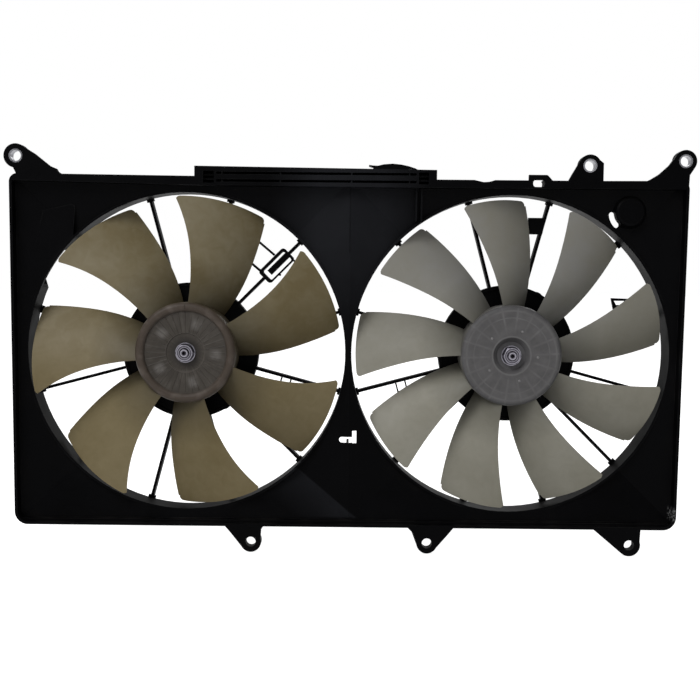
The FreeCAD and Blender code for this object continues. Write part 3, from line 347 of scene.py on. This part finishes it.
MOULD_GRAIN = make_mould_grain()
EDGE_WEAR = make_edge_wear()
SETTLED_DUST = make_settled_dust()
SEAT_GRIME_AND_SHADE = make_seat_grime_and_shade()
WHEEL_PLACE = make_wheel_place()
REPEAT_LINE = make_repeat_line()
TURNING_MARKS = make_turning_marks()


def new_finish(name):
    material = bpy.data.materials.new(name)
    material.use_nodes = True
    tree = material.node_tree
    return material, tree, tree.nodes["Principled BSDF"]


def bump(tree, height, strength, distance):
    inputs = {"Height": height, "Strength": strength, "Distance": distance}
    return add_node(tree, "ShaderNodeBump", inputs).outputs[0]


def make_shroud_finish(name, with_neck_light_and_scuffs):
    # Black moulded plastic with a soft sheen, pale worn edges and dust. Where asked, it also has
    # painted light on the neck and a few scuffs.
    material, tree, shader = new_finish(name)
    grain = place_group(tree, MOULD_GRAIN, grain_fineness=1400.0, drift_fineness=9.0)
    wear = place_group(tree, EDGE_WEAR, edge_width=0.0012, amount=0.45, breakup=45.0)["mask"]
    dust = place_group(tree, SETTLED_DUST, amount=0.16, patch_fineness=30.0)["mask"]
    colour = colour_mix(tree, weaken(tree, grain["drift"], 0.45), SHROUD_BLACK, SHROUD_GREY)
    colour = colour_mix(tree, weaken(tree, wear, 0.12), colour, SCUFF_GREY)
    colour = colour_mix(tree, weaken(tree, dust, 0.35), colour, DUST_GREY)
    if with_neck_light_and_scuffs:
        # painted light on the neck
        colour = colour_mix(tree, neck_painted_light(tree), colour, NECK_PAINTED_LIGHT)
        colour = colour_mix(tree, make_scuffs(tree), colour, SCUFF_GREY)
    tree.links.new(colour, shader.inputs["Base Color"])
    rough = remap(tree, grain["drift"], 0.0, 1.0, *SHROUD_ROUGHNESS)
    tree.links.new(maths(tree, "MULTIPLY_ADD", dust, 0.4, rough), shader.inputs["Roughness"])
    tree.links.new(bump(tree, grain["height"], 0.25, SHROUD_RELIEF), shader.inputs["Normal"])
    shader.inputs["Specular IOR Level"].default_value = SHROUD_GLOSS
    return material


def near(tree, value, middle, outer, inner):
    # 1 within the inner distance of a place on one axis, 0 beyond the outer distance.
    distance = maths(tree, "ABSOLUTE", maths(tree, "SUBTRACT", value, middle))
    return remap(tree, distance, outer, inner)


def neck_painted_light(tree):
    # Painted light: a paler tone on the upper neck between the rings, and on a patch low on it
    # whose sharp edge runs down to the right, in place of light on these faces. Both are colour
    # only, with no step in the surface.
    place = object_place(tree)
    parts = add_node(tree, "ShaderNodeSeparateXYZ", {0: place}).outputs
    upper = maths(tree, "MULTIPLY", near(tree, parts[0], *NECK_SPAN),
                  remap(tree, parts[2], *NECK_FADE))
    from_crease = add_node(tree, "ShaderNodeVectorMath", {0: place, 1: FACET_CREASE},
                           operation="SUBTRACT").outputs[0]
    depth = add_node(tree, "ShaderNodeVectorMath", {0: from_crease, 1: FACET_FALL},
                     operation="DOT_PRODUCT").outputs["Value"]
    facet = maths(tree, "MULTIPLY", remap(tree, depth, *FACET_EDGE_FADE),
                  remap(tree, depth, *FACET_TAIL_FADE))
    facet = maths(tree, "MULTIPLY", facet, remap(tree, parts[2], *FACET_FOOT_FADE))
    facet = maths(tree, "MULTIPLY", facet, near(tree, parts[0], *FACET_SPAN))
    uneven = remap(tree, noise(tree, place, 14.0, 4.0), 0.25, 0.65, 0.55, 1.0)
    tone = maths(tree, "MAXIMUM", upper, weaken(tree, facet, 0.85))
    return maths(tree, "MULTIPLY", tone, uneven)


def make_scuffs(tree):
    # Short pale rubs on the lip near the lower right corner of the shroud.
    place = object_place(tree)
    parts = add_node(tree, "ShaderNodeSeparateXYZ", {0: place}).outputs
    corner = maths(tree, "MULTIPLY", near(tree, parts[0], *SCUFF_SPAN_X),
                   near(tree, parts[2], *SCUFF_SPAN_Z))
    marks = remap(tree, noise(tree, place, 420.0, 3.0, Distortion=0.6), 0.50, 0.60)
    return maths(tree, "MULTIPLY", corner, marks)


def make_tan_wheel():
    # Tan nylon of the seven-blade wheel; painted shade darkens the blades towards a darker hub.
    material, tree, shader = new_finish("tan_nylon")
    place = place_group(tree, WHEEL_PLACE, centre=FAN_CENTRES["left"])
    grain = place_group(tree, MOULD_GRAIN, grain_fineness=900.0, drift_fineness=11.0)
    # painted light on the uppermost blades
    blade = colour_mix(tree, upper_light_share(tree, place), TAN_BLADE, TAN_BLADE_UPPER_LIT)
    blade = colour_mix(tree, grain["drift"], blade, TAN_BLADE_DEEP)
    # painted shade towards the blades' roots
    blade = darken(tree, blade, remap(tree, place["radius"], *TAN_ROOT_SHADE))
    hub = tan_disc(tree, place, grain)
    bead = colour_mix(tree, hub_streaks(tree, place, 22.0), TAN_BEAD, TAN_BEAD_PALE)
    hub = colour_mix(tree, remap(tree, place["radius"], *TAN_BEAD_FADE), hub, bead)
    colour = colour_mix(tree, remap(tree, place["radius"], *HUB_FADE), blade, hub)
    finish_nylon(tree, shader, colour, grain)
    return material


def tan_disc(tree, place, grain):
    # Sunken disc of the left hub: streaks from the centre, five pale spots, a painted highlight
    # round the bowl's edge and painted shade in the bowl.
    hub = colour_mix(tree, weaken(tree, grain["drift"], 0.4), TAN_HUB, TAN_HUB_PALE)
    spot_turn = place_group(tree, REPEAT_LINE, turn=place["turn"], radius=place["radius"],
                            count=5.0, shift=0.05, half_width=0.0072)["mask"]
    spots = maths(tree, "MULTIPLY", spot_turn, ring_bands(tree, place, [TAN_SPOT_RING]))
    cloud = noise(tree, object_place(tree), 160.0, 3.0)
    spots = maths(tree, "MULTIPLY", spots, remap(tree, cloud, 0.25, 0.55, 0.2, 0.9))
    hub = colour_mix(tree, spots, hub, TAN_SPOT)
    pale = weaken(tree, hub_streaks(tree, place, 40.0), 0.45)
    hub = colour_mix(tree, pale, hub, TAN_HUB_PALE)
    dark = weaken(tree, hub_streaks(tree, place, 67.0), 0.4)
    hub = colour_mix(tree, dark, hub, TAN_HUB_DARK_AND_SHADE)
    # painted highlight on the edge of the bowl
    step = weaken(tree, ring_bands(tree, place, [TAN_STEP_HIGHLIGHT_RING]), 0.5)
    hub = colour_mix(tree, step, hub, TAN_HUB_PALE)
    # painted shade in the bowl
    return colour_mix(tree, remap(tree, place["radius"], *TAN_BOWL_SHADE_FADE), hub, TAN_HUB_DARK_AND_SHADE)


def upper_light_share(tree, place):
    # Painted light and shade: 1 for the blades that stand uppermost at rest, which get a greyer
    # tone for how light falls on them, paler on the tan wheel and darker on the grey one; 0 for the
    # lower.
    angle = maths(tree, "MULTIPLY_ADD", place["turn"], 2.0 * math.pi, -math.pi)
    return remap(tree, maths(tree, "SINE", angle), -0.2, 0.8)


def hub_streaks(tree, place, count):
    # Fine radial streaks, uneven from one to the next.
    turn = maths(tree, "MULTIPLY", place["turn"], count)
    radial = maths(tree, "MULTIPLY", place["radius"], 60.0)
    vector = add_node(tree, "ShaderNodeCombineXYZ", {0: turn, 1: radial}).outputs[0]
    return remap(tree, noise(tree, vector, 1.0, 2.0), 0.5, 0.72)


def ring_bands(tree, place, rings):
    # 1 on each ring, fading to 0 beside it.
    bands = []
    for middle, half_width in rings:
        away = maths(tree, "ABSOLUTE", maths(tree, "SUBTRACT", place["radius"], middle))
        bands.append(remap(tree, away, half_width, half_width * 0.3))
    mask = bands[0]
    for band in bands[1:]:
        mask = maths(tree, "MAXIMUM", mask, band)
    return mask


def darken(tree, colour, share):
    # Multiplies a colour by a value.
    return add_node(tree, "ShaderNodeVectorMath", {0: colour, 1: share},
                    operation="MULTIPLY").outputs[0]


def make_grey_wheel():
    # Greyer nylon of the nine-blade wheel; painted shade darkens the blades towards a darker hub.
    material, tree, shader = new_finish("grey_nylon")
    place = place_group(tree, WHEEL_PLACE, centre=FAN_CENTRES["right"])
    grain = place_group(tree, MOULD_GRAIN, grain_fineness=900.0, drift_fineness=11.0)
    # painted shade on the uppermost blades
    blade = colour_mix(tree, upper_light_share(tree, place), GREY_BLADE, GREY_BLADE_UPPER_SHADED)
    blade = colour_mix(tree, weaken(tree, grain["drift"], 0.7), blade, GREY_BLADE_DEEP)
    # painted shade towards the blades' roots
    blade = darken(tree, blade, remap(tree, place["radius"], *GREY_ROOT_SHADE))
    hub = grey_face(tree, place)
    colour = colour_mix(tree, remap(tree, place["radius"], *HUB_FADE), blade, hub)
    finish_nylon(tree, shader, colour, grain)
    return material


def grey_face(tree, place):
    # Face of the right hub: cloudy nylon, pale radial lines and rings, painted shade on the rim and
    # in the bowl, and a painted highlight round the bowl's edge. The lines and rings are colour
    # only; the outer ring is a painted highlight where the rim's rounding starts.
    cloud = noise(tree, object_place(tree), 70.0, 5.0, Roughness=0.6)
    cloudy = remap(tree, cloud, 0.35, 0.75, 0.0, 0.5)
    hub = colour_mix(tree, cloudy, GREY_HUB, GREY_HUB_PALE)
    lines = place_group(tree, REPEAT_LINE, turn=place["turn"], radius=place["radius"], count=18.0,
                        shift=0.35, half_width=0.0016)["mask"]
    uneven = remap(tree, hub_streaks(tree, place, 9.0), 0.0, 1.0, 0.35, 1.0)
    outside_bowl = remap(tree, place["radius"], *GREY_LINES_FADE)
    lines = maths(tree, "MULTIPLY", maths(tree, "MULTIPLY", lines, outside_bowl), uneven)
    # the outer ring is a painted highlight
    rings = maths(tree, "MULTIPLY", ring_bands(tree, place, GREY_MARK_AND_HIGHLIGHT_RINGS), uneven)
    marks = weaken(tree, maths(tree, "MAXIMUM", lines, rings), 0.75)
    hub = colour_mix(tree, marks, hub, GREY_HUB_PALE)
    # painted shade on the rim's rounding
    hub = colour_mix(tree, remap(tree, place["radius"], *GREY_RIM_SHADE), hub, GREY_HUB_SHADE)
    # painted highlight on the edge of the bowl
    step = weaken(tree, ring_bands(tree, place, [GREY_STEP_HIGHLIGHT_RING]), 0.6)
    hub = colour_mix(tree, step, hub, GREY_HUB_PALE)
    # painted shade in the bowl
    return colour_mix(tree, remap(tree, place["radius"], *GREY_BOWL_SHADE), hub, GREY_HUB_SHADE)


def finish_nylon(tree, shader, colour, grain):
    dust = place_group(tree, SETTLED_DUST, amount=0.18, patch_fineness=40.0)["mask"]
    colour = colour_mix(tree, weaken(tree, dust, 0.4), colour, DUST_GREY)
    tree.links.new(colour, shader.inputs["Base Color"])
    sheen = remap(tree, grain["drift"], 0.0, 1.0, *NYLON_ROUGHNESS)
    tree.links.new(maths(tree, "MULTIPLY_ADD", dust, 0.3, sheen), shader.inputs["Roughness"])
    tree.links.new(bump(tree, grain["height"], 0.12, NYLON_RELIEF), shader.inputs["Normal"])
    shader.inputs["Specular IOR Level"].default_value = NYLON_GLOSS


def make_metal(name, clean, dull, centre, rough, marks, highlight_rings=()):
    # Bare, plated or wound metal with turning marks, dull patches, brighter worn edges, and grime
    # and painted shade in its recesses; the rings given last are painted brighter about the centre,
    # as painted highlights on a nut and washer and a painted reflection on a shaft's end.
    material, tree, shader = new_finish(name)
    turned = place_group(tree, TURNING_MARKS, centre=centre, fineness=marks)
    wear = place_group(tree, EDGE_WEAR, edge_width=0.0005, amount=0.8, breakup=300.0)["mask"]
    colour = colour_mix(tree, weaken(tree, turned["tone"], 0.7), clean, dull)
    colour = colour_mix(tree, wear, colour, clean)
    # painted highlights and reflections as brighter rings
    if highlight_rings:
        place = place_group(tree, WHEEL_PLACE, centre=centre)
        colour = colour_mix(tree, ring_bands(tree, place, highlight_rings), colour, PLATE_HIGHLIGHT)
    # grime and painted shade in recesses
    grime_and_shade = place_group(tree, SEAT_GRIME_AND_SHADE, reach=0.003, amount=0.9)["mask"]
    colour = colour_mix(tree, grime_and_shade, colour, GRIME_AND_SHADE)
    tree.links.new(colour, shader.inputs["Base Color"])
    sheen = remap(tree, turned["tone"], 0.0, 1.0, rough, rough + METAL_SPREAD)
    tree.links.new(sheen, shader.inputs["Roughness"])
    tree.links.new(bump(tree, turned["height"], 0.2, METAL_RELIEF), shader.inputs["Normal"])
    shader.inputs["Metallic"].default_value = 1.0
    return material


def make_coated(name, base, worn, rough, fineness, strength):
    # Painted metal, plastic, ferrite or carbon: a grained surface that drifts towards its worn
    # colour and has it on rubbed edges.
    material, tree, shader = new_finish(name)
    grain = place_group(tree, MOULD_GRAIN, grain_fineness=fineness, drift_fineness=40.0)
    wear = place_group(tree, EDGE_WEAR, edge_width=0.0008, amount=0.6, breakup=120.0)["mask"]
    dust = place_group(tree, SETTLED_DUST, amount=0.25, patch_fineness=45.0)["mask"]
    colour = colour_mix(tree, weaken(tree, grain["drift"], 0.5), base, worn)
    colour = colour_mix(tree, wear, colour, worn)
    colour = colour_mix(tree, weaken(tree, dust, 0.5), colour, DUST_GREY)
    tree.links.new(colour, shader.inputs["Base Color"])
    sheen = remap(tree, grain["drift"], 0.0, 1.0, rough, rough + COATED_SPREAD)
    tree.links.new(maths(tree, "MULTIPLY_ADD", dust, 0.3, sheen), shader.inputs["Roughness"])
    tree.links.new(bump(tree, grain["height"], strength, COATED_RELIEF), shader.inputs["Normal"])
    return material


def give_finish(piece, material):
    piece.data.materials.clear()
    piece.data.materials.append(material)


# Coated finishes are given as name, base and worn colour, roughness, fineness of the grain and
# strength of its relief; metals as name, clean and dull colour, centre of the turning marks,
# roughness, fineness of the marks and rings of painted highlight and reflection.
finishes = {
    "shroud": make_shroud_finish("shroud_plastic", True),
    "stay": make_shroud_finish("stay_plastic", False),
    "tan_wheel": make_tan_wheel(),
    "grey_wheel": make_grey_wheel(),
    "card": make_coated("card_plastic", CARD_BROWN, CARD_DARK, 0.5, 800.0, 0.2),
    "ferrite": make_coated("ferrite", FERRITE, FERRITE_PALE, 0.6, 1500.0, 0.4),
    "carbon": make_coated("carbon", CARBON, CARBON_PALE, 0.45, 2500.0, 0.3),
    # the pips' nylon is paler than the hub's, a painted highlight
    "pip": make_coated("pip_nylon_painted_highlight", GREY_HUB_PALE, GREY_PIP_HIGHLIGHT, 0.3, 900.0, 0.1),
    "socket": make_coated("socket_plastic", SOCKET_GREY, SOCKET_DARK, 0.4, 1500.0, 0.2),
}
for side, centre in FAN_CENTRES.items():
    finishes["hub_metal_" + side] = make_metal("hub_metal_" + side, PLATE_DULL, PLATE_SHADE,
                                               centre, 0.28, 5200.0, PLATE_HIGHLIGHT_RINGS)
    finishes["plated_" + side] = make_metal("plated_steel_" + side, ZINC, ZINC_DULL, centre,
                                            0.26, 5200.0)
    finishes["bearing_" + side] = make_metal("bearing_steel_" + side, POLISHED_STEEL, STEEL_DULL,
                                             centre, 0.2, 9000.0)
    finishes["shaft_" + side] = make_metal("shaft_steel_" + side, PLATE_DULL, PLATE_SHADE,
                                           centre, 0.22, 9000.0, SHAFT_REFLECTION_RINGS)
    finishes["bronze_" + side] = make_metal("bronze_" + side, BRONZE, BRONZE_DARK, centre,
                                            0.35, 3000.0)
    finishes["paint_" + side] = make_coated("painted_steel_" + side, MOTOR_PAINT, PRIMER_GREY,
                                            0.34, 500.0, 0.3)
finishes["spring"] = make_metal("spring_steel", SPRING, SPRING_DARK, ORIGIN, 0.25, 3000.0)
finishes["brass"] = make_metal("brass", BRASS, BRASS_DARK, ORIGIN, 0.25, 3000.0)
finishes["lamination"] = make_metal("lamination_steel", LAMINATION, LAMINATION_DARK, ORIGIN,
                                    0.5, 2000.0)
finishes["copper"] = make_metal("copper_wire", COPPER, COPPER_DARK, ORIGIN, 0.3, 1500.0)
finishes["sleeve"] = make_metal("sleeve_steel", SLEEVE_ZINC, ZINC_DULL, ORIGIN, 0.26, 4000.0)

NODE_FINISH = {
    "fan_shroud": "shroud", "rail_clip": "stay", "motor_stay": "stay", "ear_sleeve": "sleeve",
    "motor_can": "paint_SIDE", "motor_bracket": "paint_SIDE", "mount_screws": "plated_SIDE",
    "end_cover": "paint_SIDE", "cover_screws": "plated_SIDE", "front_bearing": "bearing_SIDE",
    "rear_bush": "bronze_SIDE", "magnets": "ferrite", "brush_card": "card", "brushes": "carbon",
    "brush_springs": "spring", "plug_socket": "socket", "plug_terminals": "brass",
    "shaft": "shaft_SIDE", "armature_core": "lamination", "windings": "copper",
    "commutator": "copper", "hub_insert": "plated_SIDE", "hub_washer": "hub_metal_SIDE",
    "hub_nut": "hub_metal_SIDE", "fan_wheel_left": "tan_wheel", "fan_wheel_right": "grey_wheel",
}
for name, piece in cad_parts.items():
    stem, _, side = name.rpartition("_")
    finish = NODE_FINISH.get(name) or NODE_FINISH[stem]
    give_finish(piece, finishes[finish.replace("SIDE", side)])


def mesh_piece(name, build, centre, finish, body):
    made = bmesh.new()
    build(made, centre)
    mesh = bpy.data.meshes.new(name)
    made.to_mesh(mesh)
    made.free()
    for face in mesh.polygons:
        face.use_smooth = True
    piece = bpy.data.objects.new(name, mesh)
    bpy.context.scene.collection.objects.link(piece)
    mesh.materials.append(finish)
    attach(piece, body)


THREAD_PITCH = 1.5 * MM
THREAD_ROOT = 4.75 * MM
THREAD_CREST = 5.0 * MM
THREAD_FOOT = 0.42 * MM
THREAD_FLAT = 0.08 * MM
THREAD_START = 0.9 * MM
THREAD_STEPS = 36
THREAD_RUNOUT_STEPS = 8


def build_thread(made, centre):
    # One turn of a helical ridge on the free end of a shaft, run out at both ends.
    rows = []
    for k in range(THREAD_STEPS + 1):
        turn = k / THREAD_STEPS
        angle = 2 * math.pi * turn
        y = SHAFT_TIP_Y + THREAD_START + turn * THREAD_PITCH
        fade = min(1.0, k / THREAD_RUNOUT_STEPS, (THREAD_STEPS - k) / THREAD_RUNOUT_STEPS)
        crest = THREAD_ROOT + (THREAD_CREST - THREAD_ROOT) * fade
        ring = []
        for radius, along in ((THREAD_ROOT, -THREAD_FOOT), (crest, -THREAD_FLAT),
                              (crest, THREAD_FLAT), (THREAD_ROOT, THREAD_FOOT)):
            x = centre[0] + radius * math.cos(angle)
            z = centre[2] + radius * math.sin(angle)
            ring.append(made.verts.new((x, y + along, z)))
        rows.append(ring)
    for first, second in zip(rows, rows[1:]):
        for j in range(4):
            i = (j + 1) % 4
            made.faces.new((first[j], first[i], second[i], second[j]))
    made.faces.new(rows[0])
    made.faces.new(list(reversed(rows[-1])))
    bmesh.ops.recalc_face_normals(made, faces=made.faces[:])


for side, centre in FAN_CENTRES.items():
    mesh_piece("shaft_thread_" + side, build_thread, centre, finishes["shaft_" + side],
               side + "_rotor")

PIP_CIRCLE = 28.0 * MM
PIP_RADIUS = 1.5 * MM
PIP_HEIGHT = 0.7 * MM
PIP_SUNK = 0.05 * MM
PIP_CROWN = 0.0001 * MM
PIP_SIDES = 16
PIP_LEVELS = 4
PIP_ANGLES = (-3.0, 67.0, 139.0, 214.0, 288.0)


def build_pips(made, centre):
    # Small rounded pips on the face of the right hub, each a dome that starts just inside it.
    for degrees in PIP_ANGLES:
        x = centre[0] + PIP_CIRCLE * math.cos(math.radians(degrees))
        z = centre[2] + PIP_CIRCLE * math.sin(math.radians(degrees))
        rings = []
        for level in range(PIP_LEVELS + 1):
            lift = level / PIP_LEVELS * math.pi / 2
            radius = PIP_RADIUS * math.cos(lift) + PIP_CROWN
            y = HUB_FACE_Y + PIP_SUNK - (PIP_HEIGHT + PIP_SUNK) * math.sin(lift)
            ring = []
            for k in range(PIP_SIDES):
                a = 2 * math.pi * k / PIP_SIDES
                ring.append(made.verts.new((x + radius * math.cos(a), y, z + radius * math.sin(a))))
            rings.append(ring)
        for low, high in zip(rings, rings[1:]):
            for k in range(PIP_SIDES):
                j = (k + 1) % PIP_SIDES
                made.faces.new((low[k], low[j], high[j], high[k]))
        made.faces.new(rings[-1])
        made.faces.new(list(reversed(rings[0])))
    bmesh.ops.recalc_face_normals(made, faces=made.faces[:])


# the pips get the paler nylon, a painted highlight
mesh_piece("hub_pips_right", build_pips, FAN_CENTRES["right"], finishes["pip"],
           "right_rotor")

# Studio: pale floor, white surroundings, broad soft lights; sizes in metres
FLOOR_Z = cad_box[0][2]
FLOOR_GAP = 0.5 * MM
FLOOR_HALF_WIDTH = 30.0
FLOOR_TONE = (0.60, 0.60, 0.60, 1.0)
FLOOR_GLOW = 0.86
WHITE = (1.0, 1.0, 1.0, 1.0)
WORLD_LIGHT = 0.34
REFLECTED_IN_FRONT = 0.12
REFLECTED_BEHIND = 0.7
BEHIND_FADE = (-0.05, 0.35)


def make_floor():
    mesh = bpy.data.meshes.new("studio_floor")
    made = bmesh.new()
    bmesh.ops.create_grid(made, x_segments=2, y_segments=2, size=FLOOR_HALF_WIDTH)
    made.to_mesh(mesh)
    made.free()
    floor = bpy.data.objects.new("studio_floor", mesh)
    floor.location = (0.0, 0.0, FLOOR_Z - FLOOR_GAP)
    bpy.context.scene.collection.objects.link(floor)
    material, tree, shader = new_finish("pale_floor")
    shader.inputs["Base Color"].default_value = FLOOR_TONE
    shader.inputs["Roughness"].default_value = 0.8
    shader.inputs["Specular IOR Level"].default_value = 0.1
    path = tree.nodes.new("ShaderNodeLightPath")
    seen = maths(tree, "MAXIMUM", path.outputs["Is Camera Ray"], path.outputs["Is Glossy Ray"])
    seen = maths(tree, "MAXIMUM", seen, path.outputs["Is Transmission Ray"])
    tree.links.new(weaken(tree, seen, FLOOR_GLOW), shader.inputs["Emission Strength"])
    shader.inputs["Emission Color"].default_value = WHITE
    mesh.materials.append(material)


def make_world():
    # White where the camera looks. The light on the object comes from a plain grey, and in
    # reflections the side behind the object is brighter than the side in front.
    world = bpy.data.worlds.new("studio")
    bpy.context.scene.world = world
    world.use_nodes = True
    tree = world.node_tree
    background = tree.nodes["Background"]
    background.inputs["Color"].default_value = WHITE
    path = tree.nodes.new("ShaderNodeLightPath")
    seen = maths(tree, "MAXIMUM", path.outputs["Is Camera Ray"],
                 path.outputs["Is Transmission Ray"])
    direction = tree.nodes.new("ShaderNodeTexCoord").outputs["Generated"]
    rearward = add_node(tree, "ShaderNodeSeparateXYZ", {0: direction}).outputs[1]
    behind = remap(tree, rearward, *BEHIND_FADE)
    glossy = remap(tree, behind, 0.0, 1.0, REFLECTED_IN_FRONT, REFLECTED_BEHIND)
    level = add_node(tree, "ShaderNodeMix", {0: path.outputs["Is Glossy Ray"], 2: WORLD_LIGHT,
                                             3: glossy}).outputs[0]
    strength = add_node(tree, "ShaderNodeMix", {0: seen, 2: level, 3: 1.0}).outputs[0]
    tree.links.new(strength, background.inputs["Strength"])


OBJECT_MIDDLE = (0.0, 0.03, -0.2)
# Name, place and size in metres, power in watts
SOFTBOXES = (
    ("key_softbox", (-1.1, -1.4, 1.5), (1.2, 1.2), 44.0),
    ("fill_softbox", (0.3, -2.4, 0.9), (1.4, 1.2), 9.0),
    ("rear_softbox", (0.9, 2.3, 1.5), (1.6, 1.4), 22.0),
)


def add_softbox(name, place, size, power):
    # An area light that looks at the middle of the object.
    data = bpy.data.lights.new(name, "AREA")
    data.shape = "RECTANGLE"
    data.size = size[0]
    data.size_y = size[1]
    data.energy = power
    lamp = bpy.data.objects.new(name, data)
    lamp.location = place
    towards = Vector(OBJECT_MIDDLE) - Vector(place)
    lamp.rotation_euler = towards.to_track_quat("-Z", "Y").to_euler()
    bpy.context.scene.collection.objects.link(lamp)


# Camera: place in metres, angles in degrees, focal length in pixels of a 700 pixel frame
CAMERA_PLACE = (0.0049, -1.0101, -0.1321)
CAMERA_PITCH = 3.94
CAMERA_YAW = -0.197
CAMERA_ROLL = 0.518
FOCAL_PIXELS = 951.5
FRAME_PIXELS = 700.0
SENSOR_WIDTH = 36.0
NEAREST_SEEN = 0.01


def add_camera():
    data = bpy.data.cameras.new("camera")
    data.sensor_width = SENSOR_WIDTH
    data.lens = FOCAL_PIXELS / FRAME_PIXELS * data.sensor_width
    data.clip_start = NEAREST_SEEN
    camera = bpy.data.objects.new("camera", data)
    pitch = math.radians(CAMERA_PITCH)
    yaw = math.radians(CAMERA_YAW)
    roll = math.radians(CAMERA_ROLL)
    ahead = Vector((math.sin(yaw) * math.cos(pitch), math.cos(yaw) * math.cos(pitch),
                    -math.sin(pitch)))
    level = Vector((math.cos(yaw), -math.sin(yaw), 0.0))
    upright = level.cross(ahead)
    right = math.cos(roll) * level + math.sin(roll) * upright
    top = -math.sin(roll) * level + math.cos(roll) * upright
    turn = Matrix((right, top, -ahead)).transposed()
    camera.matrix_world = Matrix.Translation(CAMERA_PLACE) @ turn.to_4x4()
    bpy.context.scene.collection.objects.link(camera)
    bpy.context.scene.camera = camera


make_floor()
make_world()
for softbox in SOFTBOXES:
    add_softbox(*softbox)
add_camera()
bpy.context.scene.view_settings.view_transform = "Standard"
